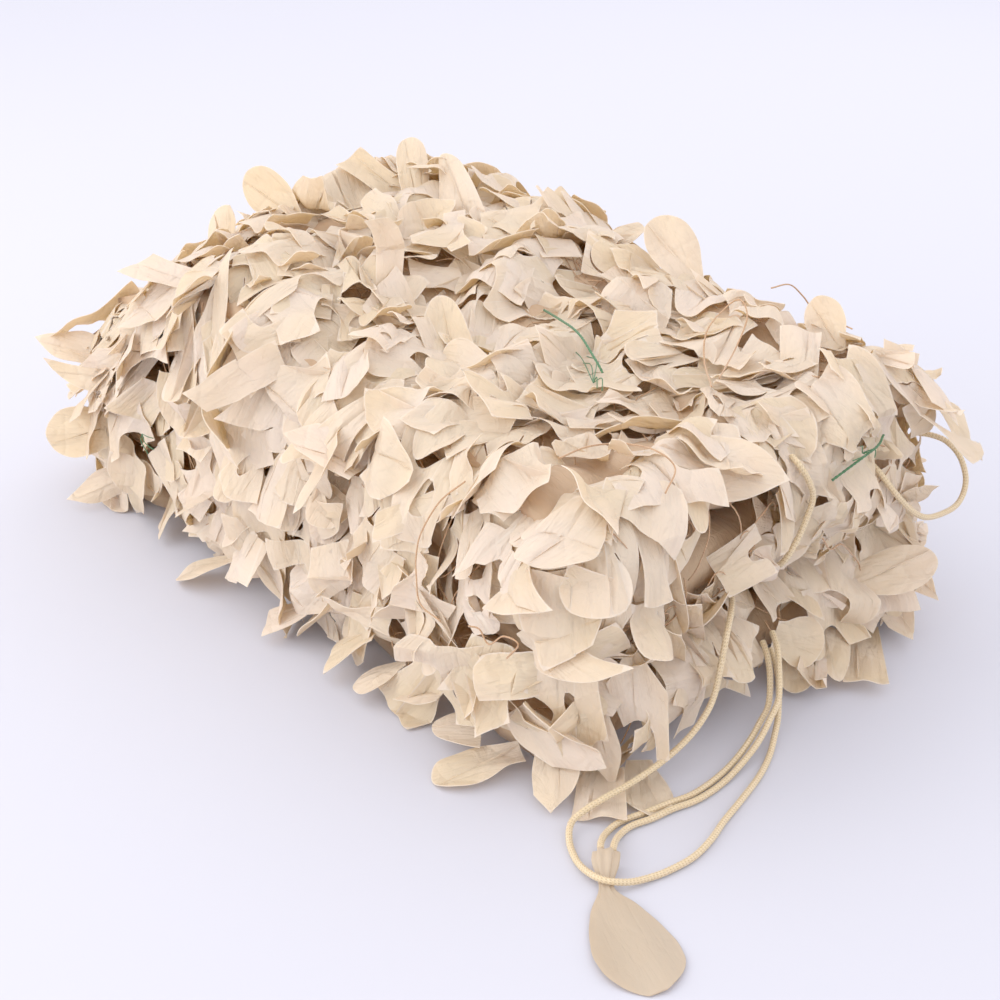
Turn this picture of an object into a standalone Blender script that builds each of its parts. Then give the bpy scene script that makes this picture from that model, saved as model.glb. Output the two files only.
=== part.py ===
"""A leaf-cut camouflage net, folded back and forth into a bundle and tied with a braided drawcord.

Metres, +Z up. The bundle lies on z = 0 with the middle of its underside at the origin. Its folds run
across the bundle and turn at its two ends: +X is the end where the drawcord comes out, and -Y is the
long side that the tag lies nearest to.
"""

import math

import bmesh
import bpy
import numpy as np
from mathutils import Vector

# Driving dimensions of the folded net.
LAYERS = 8  # bands of crumpled net in the stack
PITCH = 0.0232  # from one band to the next
BAND = 0.0196  # thickness of a band, which leaves 3.6 mm between bands
HALF_WIDTH = 0.177
HALF_LENGTH = 0.290
STACK_HEIGHT = LAYERS * PITCH
RUN_STEPS = 5  # points along a band between its folds
TURN_STEPS = 3  # pieces of a fold's half round
WIDTH_STEPS = 5  # pieces across the bundle

# Where each fold turns: the band below it, the end of the bundle and how far out its face reaches.
FOLDS = (
    {"below": 1, "end": +1, "reach": 0.286},
    {"below": 2, "end": -1, "reach": 0.292},
    {"below": 3, "end": +1, "reach": 0.266},
    {"below": 4, "end": -1, "reach": 0.300},
    {"below": 5, "end": +1, "reach": 0.304},
    {"below": 6, "end": -1, "reach": 0.282},
    {"below": 7, "end": +1, "reach": 0.298},
)
FIRST_END = -0.300  # free end of the lowest band
DROOP_TURN = -0.282  # where the top band starts to bend down over the -X end
DROOP_RADIUS = 0.020
DROOP_DROP = 0.024  # straight length that hangs below the bend

# How the square stack slumps: shares of its own size, and waves in radians a metre.
BULGE, DRAW_IN = 0.03, 0.06  # its long sides swell at half height and draw in at the top
SIDE_WAVE, SIDE_WAVE_RATE = 0.030, 33.0  # they also run in and out
CORNER_ROUND, END_ROUND = 0.035, 0.030  # its corners are drawn in, across and along the bundle
LEAN = 0.02  # its ends lean in towards the top
VALLEY_AT, VALLEY_WIDTH, VALLEY_DEPTH = 0.036, 0.018, 0.022  # the groove down the +X end, in metres
RISE = 0.27  # the -X half is fuller
CROWN = 0.03  # and the middle stands higher than the long sides
FAR_RISE, FAR_SWELL = 0.11, 0.10  # the far long side stands higher, and wider towards +X
SHOULDER = 0.31  # the -X end's top slopes down towards the near side
END_BULGE = 0.055  # and its folds bulge out below that, in metres
LUMPS, LUMPS_ALONG, LUMPS_ACROSS = 0.025, 21.0, 19.0
RIPPLE, RIPPLE_ALONG, RIPPLE_ACROSS = 0.012, 9.0, 44.0

# Leaves: cut flaps of the net's cloth that stand off the bundle.
LEAF_CLOTH = 0.002
LEAF_ROOT = 0.005  # how deep a leaf's root is set in its band
LEAF_LENGTH = (0.050, 0.072)
LEAF_WIDTH = (0.040, 0.056)
LEAF_LIFT = (0.007, 0.021)  # how far its tip stands off the bundle
TOP_LIFT = 1.15  # times as far on the top
LEAF_SPRING = (0.8, 1.6)  # below 1 it is still rising at its tip, and above 1 the tip turns back down
MOST_SPRING = 1.3
LEAF_SWAY = 0.005  # spread of how far the tip is pushed aside
LEAF_FLOOR = (0.0014, 0.0040)  # a leaf that reaches the ground lies on it, its middle this high
FLOOR_SPLAY = 0.8  # and it moves out by this share of what the ground holds it up by
LOW_LEAF = 0.75  # share of their length that the leaves of the lowest row keep
PROBE = 0.001  # step that finds how the settled bundle leans under a leaf
LEAF_SEED = 114
TOP_ROWS, TOP_COLUMNS = 6, 10
TOP_TURN = 0.10  # leaves head for -Y on the top up to here, and beyond it they lie over the +X edge
SIDE_BANDS = (7, 5, 3, 1)  # the bands whose edges carry leaves, lowest band 0
SIDE_COLUMNS = 10
END_ROWS = {+1: (7, 5, 3, 1), -1: (7.2, 5.9, 4, 2)}  # heights of the rows on each end, in pitches
END_COLUMNS = 6
TOP_SPREAD, SIDE_SPREAD, END_SPREAD = (0.93, 0.88), 0.92, 0.88  # shares of the half sizes that rows fill
ROW_SHIFT = 0.8  # how far each second row is set over, in half columns
LOW_ROW = 1.5  # a row no higher than this, in pitches, has short leaves
ALONG_JITTER, ACROSS_JITTER = 0.012, 0.010
HANG = 180  # heading of the leaves on the sides and ends: straight down
LIE_BACK, LIE_OVER = 165, 100  # and on the top: towards -Y, and over the +X edge
HEADING = 20.0  # spread of the leaves about the way they lie, in degrees
TILT = 0.16  # spread of their lean to one side, in radians
# Leaves that stand out from the rest: the face they grow from, their root's place on it (x and y on
# the top, x and height on the front, y and height on an end), the way they head and how steeply they
# stand off, in degrees, and their size.
STANDING_LEAVES = (
    {"face": "top", "place": (-0.262, 0.160), "heading": -90, "stand": 50,
     "size": (0.048, 0.036), "cut": "round"},
    {"face": "top", "place": (-0.274, -0.010), "heading": -90, "stand": 28,
     "size": (0.056, 0.046), "cut": "round"},
    {"face": "top", "place": (0.105, -0.125), "heading": -60, "stand": 34,
     "size": (0.064, 0.044), "cut": "round"},
    {"face": "top", "place": (0.200, -0.150), "heading": -70, "stand": 24,
     "size": (0.054, 0.046), "cut": "square"},
    {"face": "top", "place": (-0.045, -0.130), "heading": 160, "stand": 8,
     "size": (0.054, 0.038), "cut": "square"},
    {"face": "top", "place": (0.268, 0.085), "heading": -35, "stand": 30,
     "size": (0.042, 0.038), "cut": "square"},
    {"face": "top", "place": (0.035, 0.158), "heading": -20, "stand": 34,
     "size": (0.046, 0.046), "cut": "round"},
    {"face": "top", "place": (0.205, 0.165), "heading": -30, "stand": 24,
     "size": (0.044, 0.036), "cut": "horn"},
    {"face": "top", "place": (0.284, 0.158), "heading": 50, "stand": 35,
     "size": (0.050, 0.048), "cut": "square"},
    {"face": "near", "place": (0.168, 0.070), "heading": 120, "stand": 18,
     "size": (0.070, 0.048), "cut": "flared"},
    {"face": "near", "place": (-0.125, 0.116), "heading": 178, "stand": 6,
     "size": (0.086, 0.060), "cut": "square"},
    {"face": "near", "place": (0.105, 0.023), "heading": 165, "stand": 28,
     "size": (0.056, 0.046), "cut": "round"},
    {"face": "front", "place": (0.205, 0.035), "heading": 180, "stand": 24,
     "size": (0.066, 0.048), "cut": "round"},
    {"face": "front", "place": (0.085, 0.035), "heading": 172, "stand": 20,
     "size": (0.060, 0.044), "cut": "square"},
    {"face": "far", "place": (-0.160, 0.160), "heading": 90, "stand": 66,
     "size": (0.060, 0.030), "cut": "horn"},
    {"face": "far", "place": (-0.155, 0.093), "heading": 150, "stand": 34,
     "size": (0.066, 0.050), "cut": "round"},
)
STANDING_ROOM = 0.024  # other leaves root at least this far from a standing one
# Half width of each cut at four stations from root to tip, as a share of the leaf's width.
CUTS = {
    "round": (0.30, 0.50, 0.52, 0.24),
    "square": (0.38, 0.46, 0.50, 0.46),
    "horn": (0.44, 0.46, 0.26, 0.05),
    "flared": (0.24, 0.34, 0.50, 0.58),
}

CORD_DIAMETER = 0.005
CORD_CLEAR = 0.011  # leaves keep this far from the middle of a cord
CORD_STEP = 2.5  # diameters between a cord's points
TWINE_DIAMETER = 0.002
FLAT = 0.01  # faces that turn by less than this, in radians, are merged after the leaves are fused on

# Cord routes, in metres, from where each comes out of the net.
CORD_ROUTES = {
    "drawcord_loop": (
        (0.263, -0.006, 0.0885),
        (0.286, -0.023, 0.091),
        (0.302, -0.045, 0.082),
        (0.308, -0.056, 0.065),
        (0.311, -0.064, 0.046),
        (0.315, -0.077, 0.037),
        (0.316, -0.094, 0.027),
        (0.316, -0.118, 0.02),
        (0.315, -0.144, 0.016),
        (0.313, -0.165, 0.014),
        (0.31, -0.181, 0.01),
        (0.31, -0.193, 0.006),
        (0.32, -0.204, 0.003),
        (0.336, -0.213, 0.003),
        (0.351, -0.217, 0.0052),
        (0.3645, -0.2155, 0.007),
        (0.373, -0.204, 0.0048),
        (0.377, -0.189, 0.0028),
        (0.38, -0.175, 0.0028),
        (0.381, -0.156, 0.0028),
        (0.377, -0.136, 0.0028),
        (0.37, -0.116, 0.0028),
        (0.363, -0.092, 0.0028),
        (0.354, -0.064, 0.0028),
        (0.344, -0.042, 0.0032),
        (0.334, -0.025, 0.0085),
        (0.326, -0.013, 0.013),
        (0.311, 0.004, 0.024),
        (0.301, 0.012, 0.032),
        (0.29, 0.018, 0.037),
    ),
    "drawcord_tail_left": (
        (0.289, 0.01, 0.046),
        (0.299, 0.004, 0.041),
        (0.309, -0.004, 0.033),
        (0.32, -0.017, 0.021),
        (0.325, -0.031, 0.0155),
        (0.33, -0.048, 0.0095),
        (0.334, -0.068, 0.0045),
        (0.337, -0.089, 0.0028),
        (0.338, -0.111, 0.0028),
        (0.334, -0.13, 0.0028),
        (0.331, -0.147, 0.0028),
        (0.327, -0.166, 0.0028),
        (0.3295, -0.181, 0.0036),
        (0.3365, -0.1925, 0.007),
        (0.3427, -0.1991, 0.0086),
    ),
    "drawcord_tail_right": (
        (0.292, 0.016, 0.053),
        (0.303, 0.009, 0.048),
        (0.314, -0.001, 0.039),
        (0.325, -0.013, 0.027),
        (0.331, -0.028, 0.02),
        (0.336, -0.045, 0.012),
        (0.34, -0.066, 0.006),
        (0.343, -0.088, 0.0028),
        (0.344, -0.112, 0.0028),
        (0.34, -0.131, 0.0028),
        (0.338, -0.148, 0.0028),
        (0.3345, -0.164, 0.0028),
        (0.3368, -0.177, 0.0036),
        (0.3428, -0.187, 0.007),
        (0.3484, -0.194, 0.0086),
    ),
    "drawcord_side_loop": (
        (0.2915, 0.1135, 0.1505),
        (0.2990, 0.1140, 0.1460),
        (0.3080, 0.1230, 0.1300),
        (0.3115, 0.1380, 0.1140),
        (0.3135, 0.1530, 0.1040),
        (0.3130, 0.1720, 0.0990),
        (0.3120, 0.1930, 0.0980),
        (0.3090, 0.2070, 0.1030),
        (0.3040, 0.2150, 0.1130),
        (0.2950, 0.2170, 0.1260),
        (0.2840, 0.2140, 0.1350),
        (0.2740, 0.2080, 0.1385),
        (0.2670, 0.2030, 0.1390),
    ),
    "drawcord_valley": (
        (0.281, 0.034, 0.18),
        (0.29, 0.031, 0.178),
        (0.295, 0.036, 0.167),
        (0.296, 0.042, 0.152),
        (0.295, 0.038, 0.1355),
        (0.295, 0.0305, 0.1225),
        (0.293, 0.0215, 0.109),
        (0.284, 0.019, 0.098),
    ),
}

TWINE_ROUTES = {
    "twine_tie_top": (
        (0.041, 0.027, 0.2165),
        (0.063, 0.016, 0.2215),
        (0.083, 0.007, 0.225),
        (0.101, 0, 0.227),
        (0.117, -0.0065, 0.2265),
        (0.136, -0.0145, 0.222),
        (0.149, -0.020, 0.2185),
        (0.154, -0.0215, 0.2155),
    ),
    "twine_tie_end": (
        (0.2935, 0.1190, 0.1735),
        (0.2990, 0.1060, 0.1715),
        (0.3005, 0.0890, 0.1690),
        (0.2995, 0.0730, 0.1645),
        (0.2970, 0.0600, 0.1590),
    ),
}

# The tag, one scrap of the leaf cloth: its sections from the gathered cap, through the neck that the
# drawcord chokes, to the tip of its leaf.
TAG_SECTIONS = (
    {"x": 0.3475, "y": -0.1985, "half_width": 0.0085, "half_thick": 0.0048, "middle": 0.0088},
    {"x": 0.3505, "y": -0.2020, "half_width": 0.0098, "half_thick": 0.0064, "middle": 0.0086},
    {"x": 0.3560, "y": -0.2075, "half_width": 0.0085, "half_thick": 0.0052, "middle": 0.0068},
    {"x": 0.3605, "y": -0.2118, "half_width": 0.0050, "half_thick": 0.0020, "middle": 0.0028},
    {"x": 0.3650, "y": -0.2160, "half_width": 0.0040, "half_thick": 0.0013, "middle": 0.0018},
    {"x": 0.3705, "y": -0.2198, "half_width": 0.0062, "half_thick": 0.0013, "middle": 0.0019},
    {"x": 0.3800, "y": -0.2250, "half_width": 0.0140, "half_thick": 0.0012, "middle": 0.0036},
    {"x": 0.3960, "y": -0.2325, "half_width": 0.0215, "half_thick": 0.0011, "middle": 0.0034},
    {"x": 0.4140, "y": -0.2405, "half_width": 0.0265, "half_thick": 0.0011, "middle": 0.0024},
    {"x": 0.4300, "y": -0.2475, "half_width": 0.0250, "half_thick": 0.0010, "middle": 0.0020},
    {"x": 0.4410, "y": -0.2525, "half_width": 0.0160, "half_thick": 0.0010, "middle": 0.0018},
    {"x": 0.4480, "y": -0.2555, "half_width": 0.0050, "half_thick": 0.0009, "middle": 0.0016},
)
TAG_SIDES = 10


def smooth_step(low, high, value):
    """0 below low, 1 above high and a soft rise between them."""
    share = min(max((value - low) / (high - low), 0.0), 1.0)
    return share * share * (3.0 - 2.0 * share)


def settle(point):
    """Carry a point of the square stack to its place in the slumped bundle; z = 0 stays flat."""
    x, y, z = point
    high = max(z, 0.0) / STACK_HEIGHT
    across = y / HALF_WIDTH
    along = x / HALF_LENGTH
    swell = 1.0 + BULGE * math.sin(math.pi * min(high, 1.0)) - DRAW_IN * min(high, 1.1) ** 3
    wave = 1.0 + SIDE_WAVE * min(high, 1.0) * math.sin(SIDE_WAVE_RATE * x + 5.0 * high)
    y_out = y * swell * wave * (1.0 - CORNER_ROUND * min(abs(along), 1.1) ** 4)
    y_out *= 1.0 + FAR_SWELL * smooth_step(0.0, 0.12, y) * smooth_step(-0.05, 0.25, x)
    x_out = x * (1.0 - END_ROUND * min(abs(across), 1.1) ** 4) * (1.0 - LEAN * high**3)
    groove = math.exp(-(((y - VALLEY_AT) / VALLEY_WIDTH) ** 2)) * smooth_step(0.10, 0.26, x)
    x_out -= VALLEY_DEPTH * groove * smooth_step(0.02, 0.10, z)
    far = smooth_step(-0.02, 0.15, y)
    bulge = (1.0 - smooth_step(0.08, 0.19, z)) * (1.0 - 0.5 * far)
    x_out -= END_BULGE * smooth_step(-0.10, -0.30, x) * bulge
    rise = RISE * smooth_step(0.20, -0.20, x) + CROWN * (1.0 - min(abs(across), 1.0) ** 2)
    rise += FAR_RISE * far * smooth_step(-0.25, 0.05, x)
    rise -= SHOULDER * smooth_step(-0.16, -0.33, x) * (1.0 - smooth_step(-0.12, 0.16, y))
    lumps = LUMPS * math.sin(LUMPS_ALONG * x + 1.0) * math.cos(LUMPS_ACROSS * y)
    ripple = RIPPLE * math.sin(RIPPLE_ACROSS * y + RIPPLE_ALONG * x)
    z_out = z * (1.0 + rise + lumps + ripple)
    return Vector((x_out, y_out, z_out))


def fold_profile():
    """The middle line of the folded net as (x, z), from the lowest band's free end to the top one's."""
    radius = PITCH / 2
    line = [(FIRST_END, radius)]
    for fold in FOLDS:
        centre_x = fold["end"] * (fold["reach"] - radius - BAND / 2)
        centre_z = fold["below"] * PITCH
        start_x = line[-1][0]
        for step in range(1, RUN_STEPS):
            line.append((start_x + (centre_x - start_x) * step / RUN_STEPS, centre_z - radius))
        for step in range(TURN_STEPS + 1):
            angle = math.pi * (step / TURN_STEPS - 0.5)
            out, up = radius * math.cos(angle), radius * math.sin(angle)
            line.append((centre_x + fold["end"] * out, centre_z + up))
    top_z = STACK_HEIGHT - radius
    start_x = line[-1][0]
    for step in range(1, RUN_STEPS):
        line.append((start_x + (DROOP_TURN - start_x) * step / RUN_STEPS, top_z))
    for step in range(TURN_STEPS):
        angle = math.pi / 2 * step / (TURN_STEPS - 1)
        out, down = DROOP_RADIUS * math.sin(angle), DROOP_RADIUS * (1 - math.cos(angle))
        line.append((DROOP_TURN - out, top_z - down))
    for share in (0.5, 1.0):
        line.append((DROOP_TURN - DROOP_RADIUS, top_z - DROOP_RADIUS - DROOP_DROP * share))
    return line


def new_object(name, mesh, collection, material):
    """An object of the mesh, in the collection and of the material."""
    made = bpy.data.objects.new(name, mesh)
    if not mesh.materials:
        mesh.materials.append(material)
    collection.objects.link(made)
    return made


def cloth_material(name, color, roughness):
    """A plain Principled material; the colour is linear red, green and blue."""
    material = bpy.data.materials.new(name)
    material.use_nodes = True
    shader = material.node_tree.nodes["Principled BSDF"]
    shader.inputs["Base Color"].default_value = (*color, 1.0)
    shader.inputs["Roughness"].default_value = roughness
    shader.inputs["Metallic"].default_value = 0.0
    return material


def grid_sheet(mesh, rows, columns, place):
    """An open sheet of rows x columns points, each put where place(row, column) says."""
    bm = bmesh.new()
    bmesh.ops.create_grid(bm, x_segments=columns - 1, y_segments=rows - 1, size=0.5)
    for vertex in bm.verts:
        column = round((vertex.co.x + 0.5) * (columns - 1))
        row = round((vertex.co.y + 0.5) * (rows - 1))
        vertex.co = place(row, column)
    bm.to_mesh(mesh)
    bm.free()


def evaluated_mesh(made):
    """A new mesh of an object as its modifiers leave it."""
    depsgraph = bpy.context.evaluated_depsgraph_get()
    return bpy.data.meshes.new_from_object(made.evaluated_get(depsgraph))


def thickened(sheet_object, thickness):
    """The sheet as a solid mesh of its own, with the sheet in its middle."""
    solidify = sheet_object.modifiers.new("cloth thickness", "SOLIDIFY")
    solidify.thickness = thickness
    solidify.offset = 0.0
    solidify.use_even_offset = True
    mesh = evaluated_mesh(sheet_object)
    bpy.data.objects.remove(sheet_object)
    return mesh


def folded_bands(collection, material):
    """The folded net without its leaves: one sheet, folded back and forth, with room between its bands."""
    line = fold_profile()

    def place(row, column):
        x, z = line[row]
        return Vector((x, HALF_WIDTH * (2 * column / WIDTH_STEPS - 1), z))

    sheet = bpy.data.meshes.new("band sheet")
    grid_sheet(sheet, len(line), WIDTH_STEPS + 1, place)
    mesh = thickened(new_object("band sheet", sheet, collection, material), BAND)
    lowest = min(vertex.co.z for vertex in mesh.vertices)
    for vertex in mesh.vertices:
        vertex.co = settle(vertex.co - Vector((0, 0, lowest)))
    return new_object("folded_net", mesh, collection, material)


def leaf_rows(leaf):
    """A leaf's stations as pairs of edge points: a flat-sided strip, bent across and never along."""
    root = settle(leaf["root"])
    out = (settle(leaf["root"] + leaf["out"] * PROBE) - root).normalized()
    run = settle(leaf["root"] + leaf["run"] * PROBE) - root
    run = (run - out * run.dot(out)).normalized()
    side = out.cross(run) * math.cos(leaf["tilt"]) + out * math.sin(leaf["tilt"])
    halves = CUTS[leaf["cut"]]
    rows = []
    for station, half in enumerate(halves):
        share = station / (len(halves) - 1)
        sprung = math.sin(math.pi / 2 * min(share * leaf["spring"], MOST_SPRING))
        rise = (leaf["lift"] + LEAF_ROOT) * sprung - LEAF_ROOT
        middle = root + run * leaf["length"] * share + out * rise + side * leaf["sway"] * share**2
        pair = [middle + side * hand * half * leaf["width"] for hand in (-1, 1)]
        for point in pair:
            if point.z < leaf["floor"]:
                point += Vector((out.x, out.y, 0.0)) * (leaf["floor"] - point.z) * FLOOR_SPLAY
                point.z = leaf["floor"]
        rows.append(pair)
    return rows


def fold_face(height, end):
    """How far out the square stack reaches at a height, on the bundle's +X or -X end."""
    if end < 0 and height > STACK_HEIGHT - PITCH / 2 - DROOP_RADIUS - DROOP_DROP:
        return -DROOP_TURN + DROOP_RADIUS + BAND / 2
    here = [fold for fold in FOLDS if fold["end"] == end]
    nearest = min(here, key=lambda fold: abs(fold["below"] * PITCH - height))
    return nearest["reach"]


def surface_way(out, heading):
    """A direction along a face: at 0 degrees up, or +Y on the top, and at 90 +X on the top and -Y side."""
    level = Vector((0, 0, 1)) if abs(out.z) < 0.5 else Vector((0, 1, 0))
    turn = math.radians(heading)
    return level * math.cos(turn) + level.cross(out) * math.sin(turn)


def standing_leaf(row):
    """A leaf of STANDING_LEAVES, in the terms that leaf_rows reads."""
    a, b = row["place"]
    roots = {
        "top": ((a, b, STACK_HEIGHT), (0, 0, 1)),
        "front": ((a, -HALF_WIDTH, b), (0, -1, 0)),
        "near": ((fold_face(b, 1), a, b), (1, 0, 0)),
        "far": ((-fold_face(b, -1), a, b), (-1, 0, 0)),
    }
    root, out = (Vector(part) for part in roots[row["face"]])
    length, width = row["size"]
    rise = length * math.sin(math.radians(row["stand"]))
    return {
        "root": root,
        "out": out,
        "run": surface_way(out, row["heading"]),
        "length": length * math.cos(math.radians(row["stand"])),
        "width": width,
        "lift": rise,
        "spring": 1.0,
        "sway": 0.0,
        "tilt": 0.0,
        "floor": LEAF_FLOOR[0],
        "cut": row["cut"],
    }


def leaf_field():
    """Every leaf of the bundle, row by row over its top, long sides and ends."""
    random = np.random.default_rng(LEAF_SEED)
    cuts = list(CUTS)
    leaves = [standing_leaf(row) for row in STANDING_LEAVES]
    standing = [leaf["root"] for leaf in leaves]

    def add(root, out, heading, reach=1.0):
        spread = random.normal(0, HEADING)
        leaf = {
            "root": Vector(root),
            "out": Vector(out),
            "run": surface_way(Vector(out), heading + spread),
            "length": random.uniform(*LEAF_LENGTH) * reach,
            "width": random.uniform(*LEAF_WIDTH),
            "lift": random.uniform(*LEAF_LIFT) * (TOP_LIFT if out[2] > 0.5 else 1.0),
            "spring": random.uniform(*LEAF_SPRING),
            "sway": random.normal(0, LEAF_SWAY),
            "tilt": random.normal(0, TILT),
            "floor": random.uniform(*LEAF_FLOOR),
            "cut": cuts[random.integers(len(cuts))],
        }
        if all((leaf["root"] - other).length > STANDING_ROOM for other in standing):
            leaves.append(leaf)

    def spaced(half, row, column, columns):
        """A column's place along a row that runs from -half, each second row set over."""
        return half * ((2 * column + (row % 2) * ROW_SHIFT) / (columns - 1 + ROW_SHIFT / 2) - 1)

    for row in range(TOP_ROWS):
        for column in range(TOP_COLUMNS):
            x = spaced(HALF_LENGTH * TOP_SPREAD[0], row, column, TOP_COLUMNS)
            y = HALF_WIDTH * TOP_SPREAD[1] * (2 * row / (TOP_ROWS - 1) - 1)
            x += random.uniform(-ALONG_JITTER, ALONG_JITTER)
            y += random.uniform(-ACROSS_JITTER, ACROSS_JITTER)
            add((x, y, STACK_HEIGHT), (0, 0, 1), LIE_BACK if x < TOP_TURN else LIE_OVER)
    for hand in (-1, 1):
        for row, band in enumerate(SIDE_BANDS):
            height = band + 0.5
            reach = LOW_LEAF if height <= LOW_ROW else 1.0
            for column in range(SIDE_COLUMNS):
                x = spaced(HALF_LENGTH * SIDE_SPREAD, row, column, SIDE_COLUMNS)
                x += random.uniform(-ALONG_JITTER, ALONG_JITTER)
                add((x, hand * HALF_WIDTH, height * PITCH), (0, hand, 0), HANG, reach)
    for end, heights in END_ROWS.items():
        for row, height in enumerate(heights):
            reach = LOW_LEAF if height <= LOW_ROW else 1.0
            for column in range(END_COLUMNS):
                y = spaced(HALF_WIDTH * END_SPREAD, row, column, END_COLUMNS)
                y += random.uniform(-ACROSS_JITTER, ACROSS_JITTER)
                z = height * PITCH
                add((end * fold_face(z, end), y, z), (end, 0, 0), HANG, reach)
    return leaves


def near_cord(point, cords):
    """Whether a leaf would come too close to a cord or tie."""
    return any((point - other).length < CORD_CLEAR for route in cords for other in route)


def leaf_solids(cutters, material, cords):
    """Each leaf as a thin solid of its own, still apart from the folded bands."""
    for number, leaf in enumerate(leaf_field()):
        rows = leaf_rows(leaf)
        probes = [row[0].lerp(row[1], share) for row in rows for share in (0, 0.5, 1)]
        if any(near_cord(probe, cords) for probe in probes):
            continue
        sheet = bpy.data.meshes.new("leaf sheet")
        grid_sheet(sheet, len(rows), 2, lambda row, column, rows=rows: rows[row][column])
        mesh = thickened(new_object("leaf sheet", sheet, cutters, material), LEAF_CLOTH)
        new_object(f"leaf {number}", mesh, cutters, material)


def keep_outer_shell(mesh):
    """Drop what a union leaves shut inside the net or standing free of it."""
    bm = bmesh.new()
    bm.from_mesh(mesh)
    bm.faces.ensure_lookup_table()
    seen = set()
    shells = []
    for face in bm.faces:
        if face in seen:
            continue
        shell, front = [], [face]
        seen.add(face)
        while front:
            here = front.pop()
            shell.append(here)
            for edge in here.edges:
                for other in edge.link_faces:
                    if other not in seen:
                        seen.add(other)
                        front.append(other)
        shells.append(shell)
    shells.sort(key=len)
    for shell in shells[:-1]:
        bmesh.ops.delete(bm, geom=shell, context="FACES")
    bmesh.ops.dissolve_limit(bm, angle_limit=FLAT, verts=bm.verts, edges=bm.edges)
    bmesh.ops.triangulate(bm, faces=bm.faces)
    bm.to_mesh(mesh)
    bm.free()
    print("shells in the net:", len(shells))


def folded_net(collection, cutters, material, cords):
    """The folded bands with every leaf fused to them by its root.

    The union is Manifold's, because the exact solver leaves edges here that four faces share.
    """
    net = folded_bands(collection, material)
    leaf_solids(cutters, material, cords)
    union = net.modifiers.new("leaves", "BOOLEAN")
    union.operation = "UNION"
    union.solver = "MANIFOLD"
    union.operand_type = "COLLECTION"
    union.collection = cutters
    mesh = evaluated_mesh(net)
    net.modifiers.clear()
    net.data = mesh
    print("leaves:", len(cutters.objects))
    for leaf in list(cutters.objects):
        bpy.data.objects.remove(leaf)
    keep_outer_shell(net.data)
    return net


def smooth_route(points, step):
    """Points about a step apart on a smooth curve through the route's own points."""
    anchors = [Vector(point) for point in points]
    anchors = [2 * anchors[0] - anchors[1], *anchors, 2 * anchors[-1] - anchors[-2]]
    fine = []
    for a, b, c, d in zip(anchors, anchors[1:], anchors[2:], anchors[3:]):
        for share in np.linspace(0.0, 1.0, 12, endpoint=False):
            curve = 2 * b + (c - a) * share + (2 * a - 5 * b + 4 * c - d) * share**2
            fine.append((curve + (3 * b - a - 3 * c + d) * share**3) / 2)
    fine.append(anchors[-2])
    lengths = [0.0]
    for first, second in zip(fine, fine[1:]):
        lengths.append(lengths[-1] + (second - first).length)
    count = max(2, round(lengths[-1] / step) + 1)
    wanted = np.linspace(0.0, lengths[-1], count)
    table = np.array([tuple(point) for point in fine])
    return [Vector([float(np.interp(at, lengths, table[:, axis])) for axis in range(3)]) for at in wanted]


def cord(name, route, diameter, collection, material):
    """A plain round tube along a route, with flat caps."""
    curve = bpy.data.curves.new(name, "CURVE")
    curve.dimensions = "3D"
    curve.bevel_depth = diameter / 2
    curve.bevel_resolution = 2
    curve.use_fill_caps = True
    spline = curve.splines.new("POLY")
    spline.points.add(len(route) - 1)
    for point, place in zip(spline.points, route):
        point.co = (*place, 1.0)
    curve.materials.append(material)
    made = bpy.data.objects.new(name, curve)
    collection.objects.link(made)
    return made


def cord_tag(collection, material):
    """The scrap of cloth on the drawcord, lofted from ring to ring and closed at both ends."""
    bm = bmesh.new()
    places = [Vector((row["x"], row["y"], row["middle"])) for row in TAG_SECTIONS]
    rings = []
    for number, (row, place) in enumerate(zip(TAG_SECTIONS, places)):
        ahead = places[min(number + 1, len(places) - 1)] - places[max(number - 1, 0)]
        side = Vector((ahead.y, -ahead.x, 0.0)).normalized()
        ring = []
        for corner in range(TAG_SIDES):
            angle = 2 * math.pi * corner / TAG_SIDES
            across = side * row["half_width"] * math.cos(angle)
            ring.append(bm.verts.new(place + across + Vector((0, 0, row["half_thick"] * math.sin(angle)))))
        rings.append(ring)
    for first, second in zip(rings, rings[1:]):
        for corner in range(TAG_SIDES):
            after = (corner + 1) % TAG_SIDES
            bm.faces.new((first[corner], first[after], second[after], second[corner]))
    bm.faces.new(rings[0])
    bm.faces.new(reversed(rings[-1]))
    bmesh.ops.recalc_face_normals(bm, faces=bm.faces)
    mesh = bpy.data.meshes.new("cord_tag")
    bm.to_mesh(mesh)
    bm.free()
    return new_object("cord_tag", mesh, collection, material)


def main():
    for old in list(bpy.data.objects):
        bpy.data.objects.remove(old)
    collection = bpy.data.collections.new("folded camouflage net")
    cutters = bpy.data.collections.new("cutters")
    bpy.context.scene.collection.children.link(collection)
    bpy.context.scene.collection.children.link(cutters)
    leaf_cloth = cloth_material("sand polyester leaf cloth", (0.82, 0.70, 0.56), 0.75)
    braid = cloth_material("braided polyester cord", (0.76, 0.62, 0.40), 0.6)
    twine = cloth_material("green polyester twine", (0.10, 0.32, 0.12), 0.6)
    ropes = {name: smooth_route(points, CORD_STEP * CORD_DIAMETER) for name, points in CORD_ROUTES.items()}
    ties = {name: smooth_route(points, CORD_STEP * TWINE_DIAMETER) for name, points in TWINE_ROUTES.items()}
    folded_net(collection, cutters, leaf_cloth, [*ropes.values(), *ties.values()])
    for name, route in ropes.items():
        cord(name, route, CORD_DIAMETER, collection, braid)
    for name, route in ties.items():
        cord(name, route, TWINE_DIAMETER, collection, twine)
    cord_tag(collection, leaf_cloth)


main()
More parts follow.
